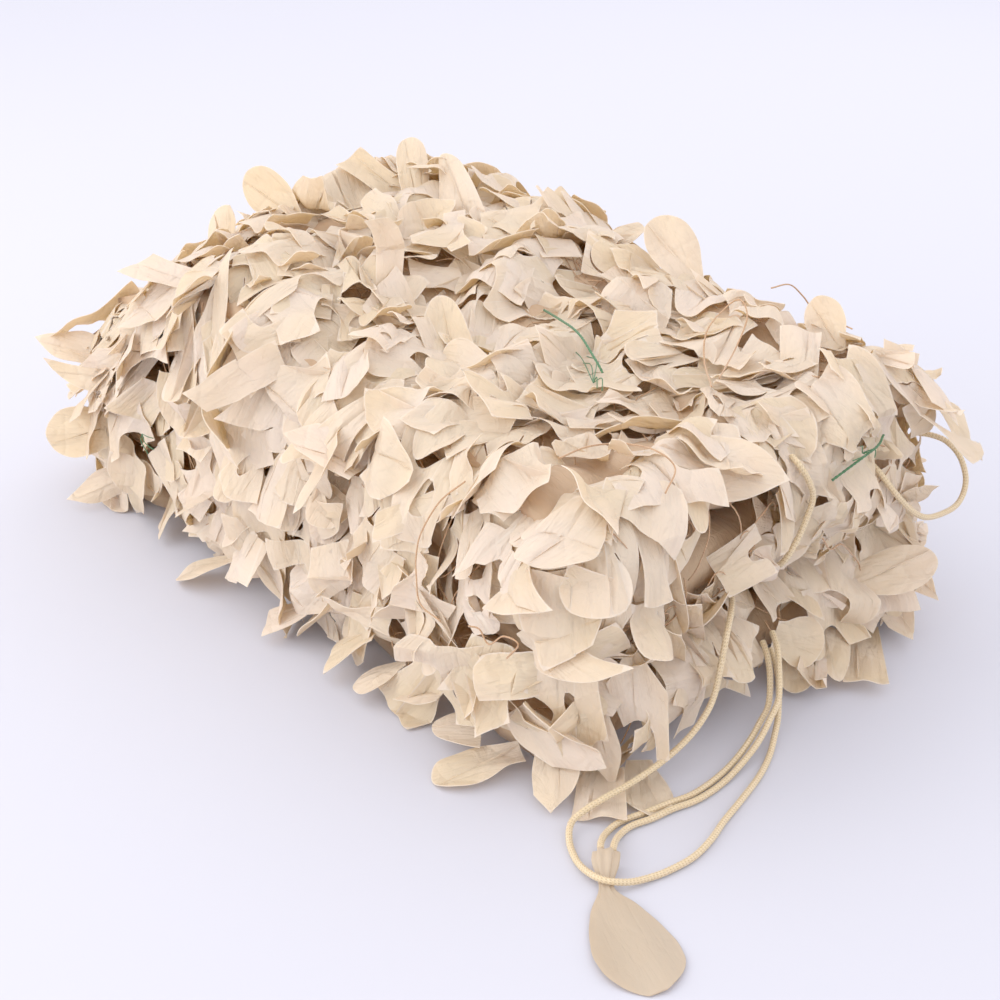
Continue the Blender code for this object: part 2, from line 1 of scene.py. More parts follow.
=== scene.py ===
# %% [markdown]
# # A leaf-cut camouflage net, folded into a bundle
#
# The real object is one large net: a polyester cloth with curved cuts all over it, sewn to a knotted yarn
# mesh. Pulled open, each cut lets a flap of cloth fall free, and the flaps look like leaves. Folded back
# and forth it makes a soft bundle, all leaf tips, with a braided drawcord coming out of one end.
#
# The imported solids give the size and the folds. This script dresses them with real cloth thickness, cut
# leaves, yarn and braid, one step at a time.

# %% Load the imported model
import math

import bpy
import numpy as np
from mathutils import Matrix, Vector, geometry


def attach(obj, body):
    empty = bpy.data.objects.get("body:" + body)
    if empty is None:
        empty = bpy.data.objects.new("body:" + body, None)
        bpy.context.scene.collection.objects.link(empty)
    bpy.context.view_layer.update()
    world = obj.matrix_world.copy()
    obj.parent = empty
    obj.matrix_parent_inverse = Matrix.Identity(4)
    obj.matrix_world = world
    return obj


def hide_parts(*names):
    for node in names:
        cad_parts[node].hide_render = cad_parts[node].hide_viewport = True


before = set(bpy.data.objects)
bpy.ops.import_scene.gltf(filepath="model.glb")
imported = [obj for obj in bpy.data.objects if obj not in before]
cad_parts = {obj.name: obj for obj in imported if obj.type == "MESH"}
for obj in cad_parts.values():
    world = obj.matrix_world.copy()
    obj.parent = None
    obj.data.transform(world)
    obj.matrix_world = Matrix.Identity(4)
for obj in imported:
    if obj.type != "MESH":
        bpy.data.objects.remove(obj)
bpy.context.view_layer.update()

bpy.ops.object.select_all(action="DESELECT")

# %% [markdown]
# ## The camera
#
# The camera comes first, because the cords and some leaves are judged by where they are seen. A 60 mm
# lens about 1.2 m away looks down on the bundle at its corner, so two sides and the top show.

# %% Camera
LENS = 60.0
AZIMUTH, ELEVATION, DISTANCE = 48.8, 27.8, 1.24
TARGET = Vector((0.085, -0.056, 0.10))
PICTURE, SENSOR = 1000, 36.0  # side of the square picture in pixels, and of the camera's sensor in mm

azimuth, elevation = math.radians(AZIMUTH), math.radians(ELEVATION)
toward_camera = Vector(
    (math.sin(azimuth) * math.cos(elevation), -math.cos(azimuth) * math.cos(elevation), math.sin(elevation))
)
bpy.ops.object.camera_add(location=TARGET + DISTANCE * toward_camera)
camera = bpy.context.object
camera.rotation_euler = (-toward_camera).to_track_quat("-Z", "Y").to_euler()
camera.data.lens = LENS
camera.data.clip_start, camera.data.clip_end = 0.05, 50.0
bpy.context.scene.camera = camera
EYE, TURNED = np.array(camera.location), np.array(camera.rotation_euler.to_matrix())
print("camera at", [round(value, 3) for value in camera.location])

# %% [markdown]
# ## Floor and light
#
# A pale floor, big soft lamps and a bright sky, as in a small studio. The strongest lamp stands low in
# front of the near long side, which glows, and the end with the cord falls into soft shade.

# %% Colours: sRGB hex to linear, in one place
def colour(hex_code, alpha=1.0):
    """An sRGB hex colour such as "EEDCC8" as linear red, green, blue and alpha."""
    channels = [int(hex_code[at : at + 2], 16) / 255 for at in (0, 2, 4)]
    linear = [c / 12.92 if c <= 0.04045 else ((c + 0.055) / 1.055) ** 2.4 for c in channels]
    return (*linear, alpha)


# %% One helper for every shader node
def node(tree, kind, links=None, **settings):
    """Add a node. Settings name its properties or sockets, and links its sockets' sources."""
    made = tree.nodes.new(kind)
    for name, value in settings.items():
        if hasattr(made, name):
            setattr(made, name, value)
        else:
            made.inputs[name.replace("_", " ")].default_value = value
    for name, source in (links or {}).items():
        tree.links.new(source, made.inputs[name])
    return made


# %% Floor
bpy.ops.mesh.primitive_plane_add(size=14.0, location=(0, 0, 0))
floor = bpy.context.object
floor.name = "studio_floor"
paper = bpy.data.materials.new("matt studio paper")
paper.use_nodes = True
sockets = paper.node_tree.nodes["Principled BSDF"].inputs
sockets["Base Color"].default_value = colour("CBCCD7")
sockets["Roughness"].default_value, sockets["Specular IOR Level"].default_value = 0.9, 0.2
floor.data.materials.append(paper)

# %% Lamps and sky
LAMPS = (
    {"name": "key", "at": (-1.5, -1.1, 1.9), "size": 2.0, "watts": 12.5, "hex": "FFFAF4"},
    {"name": "back", "at": (-0.6, 1.9, 1.6), "size": 1.8, "watts": 6.0, "hex": "F7F8FF"},
    {"name": "front", "at": (-0.6, -2.0, 0.6), "size": 1.8, "watts": 18.0, "hex": "FFFAF4"},
)
for lamp in LAMPS:
    bpy.ops.object.light_add(type="AREA", location=lamp["at"])
    made = bpy.context.object
    made.name = lamp["name"] + "_lamp"
    made.data.size = lamp["size"]
    made.data.energy = lamp["watts"]
    made.data.color = colour(lamp["hex"])[:3]
    made.rotation_euler = (Vector((0, 0, 0.1)) - made.location).to_track_quat("-Z", "Y").to_euler()
sky = bpy.context.scene.world or bpy.data.worlds.new("studio")
bpy.context.scene.world = sky
sky.use_nodes = True
sockets = sky.node_tree.nodes["Background"].inputs
sockets["Color"].default_value, sockets["Strength"].default_value = colour("FAF8FC"), 1.35
bpy.context.scene.view_settings.view_transform = "Standard"
bpy.context.scene.view_settings.gamma = 1.18  # the contrast of a bright product picture

# %% [markdown]
# ## Materials
#
# The leaf cloth is a thin plain-woven polyester taffeta, dyed sand. It is thin enough that a leaf with
# light behind it glows yellow, so its shader mixes in some translucency. Its cut edges were sealed hot,
# which leaves them a touch paler and glossier. Their paler colour is also a painted rim highlight, the thin
# bright line that light leaves along an edge.

# %% Woven polyester leaf cloth
CLOTH_THREAD = 0.0007  # real threads are about 0.1 mm; drawn coarser, so that the weave shows at all
ONE_BAND = 0.314  # a wave texture of this scale has one band a metre
CREASE = 0.016  # room between the soft creases that folding leaves
CRUSH = 0.030  # size of the flat facets between the sharp creases of packing
STREAK = 0.006  # room between the fine wrinkles along a leaf
EDGE_BEAD_AND_RIM_HIGHLIGHT = 0.12  # share of the outermost triangles that the paler sealed edge, partly a painted rim highlight, takes up, about 0.7 mm
THROUGH = 0.38  # share of the light on it that comes through


def woven_cloth(name, face, sealed_and_rim_highlight, glow, rough, crease_height):
    """Plain-woven polyester: a dull face, a paler hot-cut edge that is partly a painted rim highlight, and a
    warmer glow where light comes through.
    """
    made = bpy.data.materials.new(name)
    made.use_nodes = True
    tree = made.node_tree
    tree.nodes.clear()
    place = node(tree, "ShaderNodeAttribute", attribute_name="on_cloth").outputs["Vector"]
    warp, weft = (
        node(tree, "ShaderNodeTexWave", {"Vector": place}, bands_direction=way, Scale=ONE_BAND / CLOTH_THREAD,
             Distortion=0.6, Detail=1.0, Detail_Scale=2.0).outputs["Fac"] for way in "XY"
    )
    long_way = node(tree, "ShaderNodeMapping", {"Vector": place}, Scale=(0.16, 1.0, 1.0))
    streaks = node(tree, "ShaderNodeTexNoise", {"Vector": long_way.outputs["Vector"]}, noise_dimensions="2D",
                   Scale=1 / STREAK, Detail=3.0, Roughness=0.6, Distortion=0.6)
    threads = node(tree, "ShaderNodeMath", {0: warp, 1: weft}, operation="ADD")
    soft = node(tree, "ShaderNodeTexNoise", {"Vector": place}, noise_dimensions="2D", Scale=1 / CREASE,
                Detail=3.0, Roughness=0.55, Distortion=0.8)
    crush = node(tree, "ShaderNodeTexVoronoi", {"Vector": place}, voronoi_dimensions="2D",
                 feature="DISTANCE_TO_EDGE", Scale=1 / CRUSH)
    fold = node(tree, "ShaderNodeMath", {0: crush.outputs["Distance"]}, operation="MINIMUM")
    fold.inputs[1].default_value = 0.10
    tone = node(tree, "ShaderNodeTexNoise", {"Vector": place}, noise_dimensions="2D", Scale=8.0, Detail=1.0)
    ramp = node(tree, "ShaderNodeValToRGB", {"Fac": tone.outputs["Fac"]})
    for stop, position, hex_code in zip(ramp.color_ramp.elements, (0.35, 0.68), face):
        stop.position, stop.color = position, colour(hex_code)
    # The paler colour on the outermost triangles is the sealed edge and also a painted rim highlight.
    inward = node(tree, "ShaderNodeAttribute", attribute_name="inward")
    on_edge = node(tree, "ShaderNodeMath", {0: inward.outputs["Fac"]}, operation="LESS_THAN")
    on_edge.inputs[1].default_value = EDGE_BEAD_AND_RIM_HIGHLIGHT
    base = node(tree, "ShaderNodeMix", {"Factor": on_edge.outputs["Value"], 6: ramp.outputs["Color"]},
                data_type="RGBA")
    base.inputs[7].default_value = colour(sealed_and_rim_highlight)
    links = {}
    for height, strength, deep in (  # soft creases, sharp ones, fine wrinkles and the weave
        (soft.outputs["Fac"], 0.5, crease_height),
        (fold.outputs["Value"], 0.5, crease_height * 3),
        (streaks.outputs["Fac"], 0.5, crease_height * 1.2),
        (threads.outputs["Value"], 0.18, 0.0002),
    ):
        bump = node(tree, "ShaderNodeBump", {"Height": height, **links}, Strength=strength, Distance=deep)
        links = {"Normal": bump.outputs["Normal"]}
    body = node(tree, "ShaderNodeBsdfPrincipled", {"Base Color": base.outputs[2], **links}, Roughness=rough,
                Sheen_Weight=0.2, Sheen_Roughness=0.4, Specular_IOR_Level=0.45)
    through = node(tree, "ShaderNodeBsdfTranslucent", links, Color=colour(glow))
    both = node(tree, "ShaderNodeMixShader", {1: body.outputs["BSDF"], 2: through.outputs["BSDF"]},
                Fac=THROUGH)
    node(tree, "ShaderNodeOutputMaterial", {"Surface": both.outputs["Shader"]})
    return made


TAFFETA = "sand polyester taffeta"
# The leaf cloth's third colour is its paler sealed edge, partly a painted rim highlight.
leaf_cloth = woven_cloth(TAFFETA, ("EEDFC3", "F3E7D9"), "F6EDDF", "F7DFB0", 0.55, 0.0028)
tag_cloth = woven_cloth(TAFFETA + ", tag", ("D6C6AE", "DFD1BC"), "E9DECB", "E6CB9C", 0.6, 0.0010)
# The inner folds are the same taffeta, coloured darker and browner as painted shade in the gaps.
inner_cloth_painted_shade = woven_cloth(TAFFETA + ", inner folds in painted shade", ("D2AE86", "DFC29E"), "DDBF9C", "E2B883", 0.7, 0.003)
# The rims are paler than the face: partly the hot-cut edge, partly a painted rim highlight.
cut_edge_and_highlight = woven_cloth("hot-cut polyester edge, painted highlight", ("F6E9D6", "FAF0E0"), "FBF2E4", "F6E3B8", 0.45, 0.0005)

# %% Braid, yarn and twine
def spun(name, dark, pale, deep, grain, rough):
    """Spun or braided yarn: fine fibres vary its colour, and its grooves are painted darker, as painted
    shade.
    """
    made = bpy.data.materials.new(name)
    made.use_nodes = True
    tree = made.node_tree
    shader = tree.nodes["Principled BSDF"]
    place = node(tree, "ShaderNodeTexCoord").outputs["Object"]
    fibres = node(tree, "ShaderNodeTexNoise", {"Vector": place}, Scale=1 / grain, Detail=3.0)
    ramp = node(tree, "ShaderNodeValToRGB", {"Fac": fibres.outputs["Fac"]})
    for stop, position, hex_code in zip(ramp.color_ramp.elements, (0.3, 0.7), (dark, pale)):
        stop.position, stop.color = position, colour(hex_code)
    # Painted shade: points in the grooves are mixed towards the deep colour.
    groove = node(tree, "ShaderNodeAttribute", attribute_name="groove")
    shaded = node(tree, "ShaderNodeMix", {"Factor": groove.outputs["Fac"], 6: ramp.outputs["Color"]},
                  data_type="RGBA")
    shaded.inputs[7].default_value = colour(deep)
    bump = node(tree, "ShaderNodeBump", {"Height": fibres.outputs["Fac"]}, Strength=0.3, Distance=grain * 0.2)
    tree.links.new(shaded.outputs[2], shader.inputs["Base Color"])
    tree.links.new(bump.outputs["Normal"], shader.inputs["Normal"])
    shader.inputs["Roughness"].default_value, shader.inputs["Sheen Weight"].default_value = rough, 0.2
    return made


# The third colour of each is the painted shade in its grooves.
braid_cord = spun("braided polyester drawcord", "E2C896", "F2DFBC", "8A6034", 0.0012, 0.5)
net_yarn = spun("twisted polyester net yarn", "A5784F", "CBA47C", "6E4A30", 0.0008, 0.6)
green_twine = spun("green polyester twine", "2A5C35", "417B48", "183A22", 0.0010, 0.55)
print("materials:", [material.name for material in bpy.data.materials])

# %% [markdown]
# ## The drawcord
#
# A braided cord 5 mm thick: eight strands cross over each other and leave slanted ribs in rows that meet
# like arrowheads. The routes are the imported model's own. A ring of points travels along each route, and
# its radius rises and falls with the ribs, so that the braid is in the mesh and not only in the finish.

# %% Routes of the cords, in metres, from where each comes out of the net
CORD_DIAMETER = 0.005
CORD_ROUTES = {
    "drawcord_loop": (
        (0.263, -0.006, 0.0885), (0.286, -0.023, 0.091), (0.302, -0.045, 0.082), (0.308, -0.056, 0.065),
        (0.311, -0.064, 0.046), (0.315, -0.077, 0.037), (0.316, -0.094, 0.027), (0.316, -0.118, 0.02),
        (0.315, -0.144, 0.016), (0.313, -0.165, 0.014), (0.31, -0.181, 0.01), (0.31, -0.193, 0.006),
        (0.32, -0.204, 0.003), (0.336, -0.213, 0.003), (0.351, -0.217, 0.0052), (0.3645, -0.2155, 0.007),
        (0.373, -0.204, 0.0048), (0.377, -0.189, 0.0028), (0.38, -0.175, 0.0028), (0.381, -0.156, 0.0028),
        (0.377, -0.136, 0.0028), (0.37, -0.116, 0.0028), (0.363, -0.092, 0.0028), (0.354, -0.064, 0.0028),
        (0.344, -0.042, 0.0032), (0.334, -0.025, 0.0085), (0.326, -0.013, 0.013), (0.311, 0.004, 0.024),
        (0.301, 0.012, 0.032), (0.29, 0.018, 0.037),
    ),
    "drawcord_tail_left": (
        (0.289, 0.01, 0.046), (0.299, 0.004, 0.041), (0.309, -0.004, 0.033), (0.32, -0.017, 0.021),
        (0.325, -0.031, 0.0155), (0.33, -0.048, 0.0095), (0.334, -0.068, 0.0045), (0.337, -0.089, 0.0028),
        (0.338, -0.111, 0.0028), (0.334, -0.13, 0.0028), (0.331, -0.147, 0.0028), (0.327, -0.166, 0.0028),
        (0.3295, -0.181, 0.0036), (0.3365, -0.1925, 0.007), (0.3427, -0.1991, 0.0086),
    ),
    "drawcord_tail_right": (
        (0.292, 0.016, 0.053), (0.303, 0.009, 0.048), (0.314, -0.001, 0.039), (0.325, -0.013, 0.027),
        (0.331, -0.028, 0.02), (0.336, -0.045, 0.012), (0.34, -0.066, 0.006), (0.343, -0.088, 0.0028),
        (0.344, -0.112, 0.0028), (0.34, -0.131, 0.0028), (0.338, -0.148, 0.0028), (0.3345, -0.164, 0.0028),
        (0.3368, -0.177, 0.0036), (0.3428, -0.187, 0.007), (0.3484, -0.194, 0.0086),
    ),
    "drawcord_side_loop": (
        (0.2915, 0.1135, 0.1505), (0.299, 0.114, 0.146), (0.308, 0.123, 0.13), (0.3115, 0.138, 0.114),
        (0.3135, 0.153, 0.104), (0.313, 0.172, 0.099), (0.312, 0.193, 0.098), (0.309, 0.207, 0.103),
        (0.304, 0.215, 0.113), (0.295, 0.217, 0.126), (0.284, 0.214, 0.135), (0.274, 0.208, 0.1385),
        (0.267, 0.203, 0.139),
    ),
    "drawcord_valley": (
        (0.281, 0.034, 0.18), (0.29, 0.031, 0.178), (0.295, 0.036, 0.167), (0.296, 0.042, 0.152),
        (0.295, 0.038, 0.1355), (0.295, 0.0305, 0.1225), (0.293, 0.0215, 0.109), (0.284, 0.019, 0.098),
    ),
}
TWINE_DIAMETER = 0.002
TWINE_ROUTES = {
    "twine_tie_top": (
        (0.041, 0.027, 0.2165), (0.063, 0.016, 0.2215), (0.083, 0.007, 0.225), (0.101, 0, 0.227),
        (0.117, -0.0065, 0.2265), (0.136, -0.0145, 0.222), (0.149, -0.02, 0.2185), (0.154, -0.0215, 0.2155),
    ),
    "twine_tie_end": (
        (0.2935, 0.119, 0.1735), (0.299, 0.106, 0.1715), (0.3005, 0.089, 0.169), (0.2995, 0.073, 0.1645),
        (0.297, 0.06, 0.159),
    ),
}


# %% A smooth line through a route, in even steps
def between(a, b, c, d, share):
    """The point that lies a share of the way from b to c, on a smooth curve through a, b, c and d."""
    curve = 2 * b + (c - a) * share + (2 * a - 5 * b + 4 * c - d) * share**2
    return (curve + (3 * b - a - 3 * c + d) * share**3) / 2


def walked(line):
    """How far along a line each of its points is."""
    return np.concatenate([[0.0], np.cumsum(np.linalg.norm(np.diff(line, axis=0), axis=1))])


def smooth_route(points, step):
    """Points about a step apart on a smooth curve through the route's own points."""
    anchors = [Vector(point) for point in points]
    anchors = [2 * anchors[0] - anchors[1], *anchors, 2 * anchors[-1] - anchors[-2]]
    fine = []
    for a, b, c, d in zip(anchors, anchors[1:], anchors[2:], anchors[3:]):
        fine += [between(a, b, c, d, share) for share in np.linspace(0.0, 1.0, 12, endpoint=False)]
    fine.append(anchors[-2])
    table = np.array(fine)
    lengths = walked(table)
    wanted = np.linspace(0.0, lengths[-1], max(2, round(lengths[-1] / step) + 1))
    return np.stack([np.interp(wanted, lengths, table[:, axis]) for axis in range(3)], axis=1)


# %% Faces between the points of a grid, and a closed tube whose radius follows a pattern
def grid_faces(rows, columns, closed):
    """The faces of a grid of points; a closed grid's last column joins its first."""
    row, column = np.meshgrid(np.arange(rows - 1) * columns, np.arange(columns - (not closed)), indexing="ij")
    after = (column + 1) % columns
    corners = [row + column, row + after, row + columns + after, row + columns + column]
    return np.stack(corners, -1).reshape(-1, 4).tolist()


def tube_faces(rings, sides):
    """The faces of a tube of rings, with one more point for the middle of each end."""
    faces, last = grid_faces(rings, sides, True), (rings - 1) * sides
    corners = [(corner, (corner + 1) % sides) for corner in range(sides)]
    faces += [[after, corner, rings * sides] for corner, after in corners]
    return faces + [[last + corner, last + after, rings * sides + 1] for corner, after in corners]


def tube_arrays(line, radius_of, sides):
    """Vertices and faces of a closed tube along a line; radius_of takes (distance, angle) arrays."""
    distance = walked(line)
    ahead = np.gradient(line, axis=0)
    ahead /= np.linalg.norm(ahead, axis=1)[:, None]
    side = np.cross(ahead[0], (0.0, 0.0, 1.0))
    if np.linalg.norm(side) < 1e-3:
        side = np.cross(ahead[0], (1.0, 0.0, 0.0))
    sides_of = []
    for tangent in ahead:
        side = side - tangent * (side @ tangent)
        side /= np.linalg.norm(side)
        sides_of.append(side)
    sides_of = np.array(sides_of)
    up = np.cross(ahead, sides_of)
    angle = np.linspace(0, 2 * np.pi, sides, endpoint=False)
    radius = radius_of(distance[:, None], angle[None, :])
    rings = line[:, None, :] + radius[..., None] * (
        np.cos(angle)[None, :, None] * sides_of[:, None, :] + np.sin(angle)[None, :, None] * up[:, None, :]
    )
    return np.concatenate([rings.reshape(-1, 3), line[:1], line[-1:]]), tube_faces(len(line), sides)


def plain(radius):
    """The radius of a tube that is the same all along it."""
    return lambda distance, angle: radius + 0 * distance * angle


def mesh_object(name, verts, faces, *materials):
    """An object at the origin with its place in its mesh, shaded smooth."""
    mesh = bpy.data.meshes.new(name)
    mesh.from_pydata(np.asarray(verts).tolist(), [], faces)
    mesh.validate()
    for material in materials:
        mesh.materials.append(material)
    made = bpy.data.objects.new(name, mesh)
    bpy.context.scene.collection.objects.link(made)
    mesh.shade_smooth()
    return made


# %% One cord, thread or yarn along a route
cords = {}


def lay_cord(name, ending, route, step, radius_of, sides, finish, groove=None):
    """Make a cord along a route. Its grooves are about so deep, and their points are told from its ribs' and
    get painted shade.
    """
    line = smooth_route(route, step)
    verts, faces = tube_arrays(line, radius_of, sides)
    piece = mesh_object(name + ending, verts, faces, finish)
    if groove:
        ring = np.linalg.norm(verts[:-2].reshape(len(line), sides, 3) - line[:, None, :], axis=2).ravel()
        sunk = np.clip(1.5 * (ring.max() - ring) / groove - 0.4, 0, 1)
        kept = piece.data.attributes.new("groove", "FLOAT", "POINT")
        kept.data.foreach_set("value", np.append(sunk, [0.0, 0.0]))
    length = round(float(np.linalg.norm(np.diff(line, axis=0), axis=1).sum()), 3)
    cords[name] = {"piece": piece, "line": line, "length": length}
    print(name, "is", length, "m long, with", len(faces), "faces")

# %% The braid
RIB_PITCH = 0.0024  # along the cord; real ribs of such a cord are about 1.6 mm apart
RIB_HEIGHT = 0.00055
RIB_COLUMNS = 4  # rows of arrowheads around the cord


def braid_radius(distance, angle):
    """Slanted ribs that meet like arrowheads, in rows around the cord."""
    zigzag = np.abs(((angle * RIB_COLUMNS / (2 * np.pi)) % 1.0) - 0.5) * 2
    ribs = np.sin(2 * np.pi * (distance / RIB_PITCH + 0.9 * zigzag))
    groove = np.abs(zigzag - 0.5) * 2
    return CORD_DIAMETER / 2 - RIB_HEIGHT * (0.55 - 0.45 * ribs) - RIB_HEIGHT * 0.5 * groove**4


for name, route in CORD_ROUTES.items():
    lay_cord(name, "_braid", route, RIB_PITCH / 4, braid_radius, 16, braid_cord, 2.0 * RIB_HEIGHT)

# %% The green twine: two plies twisted together
PLY_TWIST = 0.007  # length of one full turn of the plies


def twine_radius(distance, angle):
    """Two round plies that wind round each other."""
    turn = np.abs(np.cos(angle - 2 * np.pi * distance / PLY_TWIST))
    return TWINE_DIAMETER / 2 * (0.68 + 0.32 * turn)


for name, route in TWINE_ROUTES.items():
    lay_cord(name, "_twist", route, 0.0007, twine_radius, 10, green_twine, 0.25 * TWINE_DIAMETER)

# %% [markdown]
# ## The slumped bundle
#
# Everything that lies on the bundle is first laid out on a plain box with rounded edges, where distances
# are easy to keep, and is then carried to its place in the slumped bundle by the same function that
# shaped the solids. Soft ridges, where folds of the net push up from inside, come on top of that.

# %% Sizes of the square stack and how it slumps
LAYERS, PITCH = 8, 0.0232
HALF_WIDTH, HALF_LENGTH = 0.177, 0.290
STACK_HEIGHT = LAYERS * PITCH
BULGE, DRAW_IN = 0.03, 0.06
SIDE_WAVE, SIDE_WAVE_RATE = 0.030, 33.0
CORNER_ROUND, END_ROUND = 0.035, 0.030
LEAN = 0.02
VALLEY_AT, VALLEY_WIDTH, VALLEY_DEPTH = 0.036, 0.018, 0.022
RISE, CROWN = 0.27, 0.03
LUMPS, LUMPS_ALONG, LUMPS_ACROSS = 0.025, 21.0, 19.0
RIPPLE, RIPPLE_ALONG, RIPPLE_ACROSS = 0.012, 9.0, 44.0
FAR_RISE, FAR_SWELL = 0.11, 0.10
SHOULDER = 0.31
END_BULGE = 0.055


def smooth_step(low, high, value):
    """0 below low, 1 above high and a soft rise between them."""
    share = np.clip((value - low) / (high - low), 0.0, 1.0)
    return share * share * (3.0 - 2.0 * share)


def settle(points):
    """Carry points of the square stack to their places in the slumped bundle."""
    x, y, z = np.asarray(points, float).T
    high = np.maximum(z, 0.0) / STACK_HEIGHT
    across = np.abs(y / HALF_WIDTH)
    along = np.abs(x / HALF_LENGTH)
    swell = 1.0 + BULGE * np.sin(np.pi * np.minimum(high, 1.0)) - DRAW_IN * np.minimum(high, 1.1) ** 3
    wave = 1.0 + SIDE_WAVE * np.minimum(high, 1.0) * np.sin(SIDE_WAVE_RATE * x + 5.0 * high)
    y_out = y * swell * wave * (1.0 - CORNER_ROUND * np.minimum(along, 1.1) ** 4)
    y_out *= 1.0 + FAR_SWELL * smooth_step(0.0, 0.12, y) * smooth_step(-0.05, 0.25, x)
    x_out = x * (1.0 - END_ROUND * np.minimum(across, 1.1) ** 4) * (1.0 - LEAN * np.minimum(high, 1.3) ** 3)
    groove = np.exp(-(((y - VALLEY_AT) / VALLEY_WIDTH) ** 2)) * smooth_step(0.10, 0.26, x)
    x_out -= VALLEY_DEPTH * groove * smooth_step(0.02, 0.10, z)
    far = smooth_step(-0.02, 0.15, y)
    bulge = (1.0 - smooth_step(0.08, 0.19, z)) * (1.0 - 0.5 * far)
    x_out -= END_BULGE * smooth_step(-0.10, -0.30, x) * bulge
    rise = RISE * smooth_step(0.20, -0.20, x) + CROWN * (1.0 - np.minimum(across, 1.0) ** 2)
    rise += FAR_RISE * far * smooth_step(-0.25, 0.05, x)
    rise -= SHOULDER * smooth_step(-0.16, -0.33, x) * (1.0 - smooth_step(-0.12, 0.16, y))
    lumps = LUMPS * np.sin(LUMPS_ALONG * x + 1.0) * np.cos(LUMPS_ACROSS * y)
    ripple = RIPPLE * np.sin(RIPPLE_ACROSS * y + RIPPLE_ALONG * x)
    return np.stack([x_out, y_out, z * (1.0 + rise + lumps + ripple)], axis=1)


# %% Soft ridges on the skin of the bundle, and the gap between its folds
EDGE = 0.038  # radius of the rounded box's edges
RIDGE_ROOM, RIDGE_HEIGHT = 0.082, 0.006  # from ridge to ridge along the bundle, and how high they stand
LUMP_HEIGHT = 0.004
FULLER = 0.004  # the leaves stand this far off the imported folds
RECESS_AT, RECESS_THICK, RECESS_DEPTH = 0.076, 0.013, 0.032  # dark gap between the folds at the cord's end
BROW = {"near": 0.010, "far": 0.012}  # how far the top folds hang over at each end


def ridges(points, out):
    """How far the folds inside push the skin out."""
    x, y, z = points.T
    top = np.clip(out[:, 2], 0, 1)
    meander = 1.3 * np.sin(9.0 * y + 1.0) + 0.7 * np.sin(23.0 * y + 6.0 * x)
    push = RIDGE_HEIGHT * np.sin(2 * np.pi * x / RIDGE_ROOM + meander)
    meander = 2.0 * np.sin(14.0 * y) + 40.0 * z
    push = push + 0.5 * RIDGE_HEIGHT * np.sin(2 * np.pi * x / (0.57 * RIDGE_ROOM) + meander)
    lumps = np.sin(38.0 * x + 17.0 * y + 25.0 * z) * np.cos(31.0 * y - 27.0 * z + 8.0 * x)
    push = (push + LUMP_HEIGHT * lumps) * (0.45 + 0.55 * top) + FULLER
    near_end, far_end = np.clip(out[:, 0], 0, 1) ** 2, np.clip(-out[:, 0], 0, 1) ** 2
    push = push - RECESS_DEPTH * near_end * np.exp(-(((z - RECESS_AT) / RECESS_THICK) ** 2))
    push = push + BROW["near"] * near_end * smooth_step(0.09, 0.12, z)
    return push + BROW["far"] * far_end * smooth_step(0.11, 0.14, z)

# %% [markdown]
# ## The folds inside
#
# Behind the leaves lie the layers of the folded net itself. They are built as what they are: one long
# sheet that runs to and fro, crumpled, with dark gaps between its layers. Their cloth is coloured darker
# and browner than the leaves: painted shade.

# %% The way that an angle points
def heading(degrees):
    """The unit vector of an angle on the flat."""
    return np.array([math.cos(math.radians(degrees)), math.sin(math.radians(degrees))])


# %% The line of the folds, seen from the long side
FOLDS = (  # which end each is at, from the lowest up, and how far it reaches
    (+1, 0.286), (-1, 0.292), (+1, 0.266), (-1, 0.300), (+1, 0.304), (-1, 0.282), (+1, 0.298),
)
SHEET_END = -0.292
FOLD_INSET = 0.017  # the leaves need room outside the folds
INNER_BAND = 0.0150  # thickness of a layer: cloth, leaves and yarn together
FOLD_STEP = 0.010
CRUMPLE, CRUMPLE_RATE = 0.0035, 55.0  # height and coarsest waves of its crumples
OFF_FLOOR = 0.0008


def fold_line():
    """The middle line of the folded sheet as (x, z), evenly spaced from its lowest end to its top one."""
    radius = PITCH / 2
    line = [(SHEET_END, radius)]
    for below, (end, reach) in enumerate(FOLDS, 1):
        centre_x = end * (reach - FOLD_INSET - radius - INNER_BAND / 2)
        for angle in np.linspace(-np.pi / 2, np.pi / 2, 7):
            out, up = radius * math.cos(angle), radius * math.sin(angle)
            line.append((centre_x + end * out, below * PITCH + up))
    line.append((SHEET_END, STACK_HEIGHT - radius))
    line = np.array(line)
    lengths = walked(line)
    wanted = np.linspace(0, lengths[-1], round(lengths[-1] / FOLD_STEP))
    return np.stack([np.interp(wanted, lengths, line[:, axis]) for axis in range(2)], axis=1), lengths[-1]


# %% Where each point lies on its own flat cloth, for the weave to follow
def keep_cloth_places(piece, flat):
    """Store flat places on the piece's points, in metres, as the attribute that the weave reads."""
    place = np.zeros((len(flat), 3))
    place[:, :2] = flat
    piece.data.attributes.new("on_cloth", "FLOAT_VECTOR", "POINT").data.foreach_set("vector", place.ravel())


# %% The crumpled, folded sheet
def crumple(points, height, seed):
    """A soft, uneven push at each point, the same every run."""
    random = np.random.default_rng(seed)
    push = np.zeros(len(points))
    for octave in range(5):
        rate = CRUMPLE_RATE * 1.7**octave
        way = random.normal(size=(3, 3))
        way /= np.linalg.norm(way, axis=1)[:, None]
        phase = random.uniform(0, 6.28, 3)
        bent = 1.5 * np.sin(points @ way[1] * rate * 0.7 + phase[1])
        push += height * 0.62**octave * np.sin(points @ way[0] * rate + phase[0] + bent)
    return push


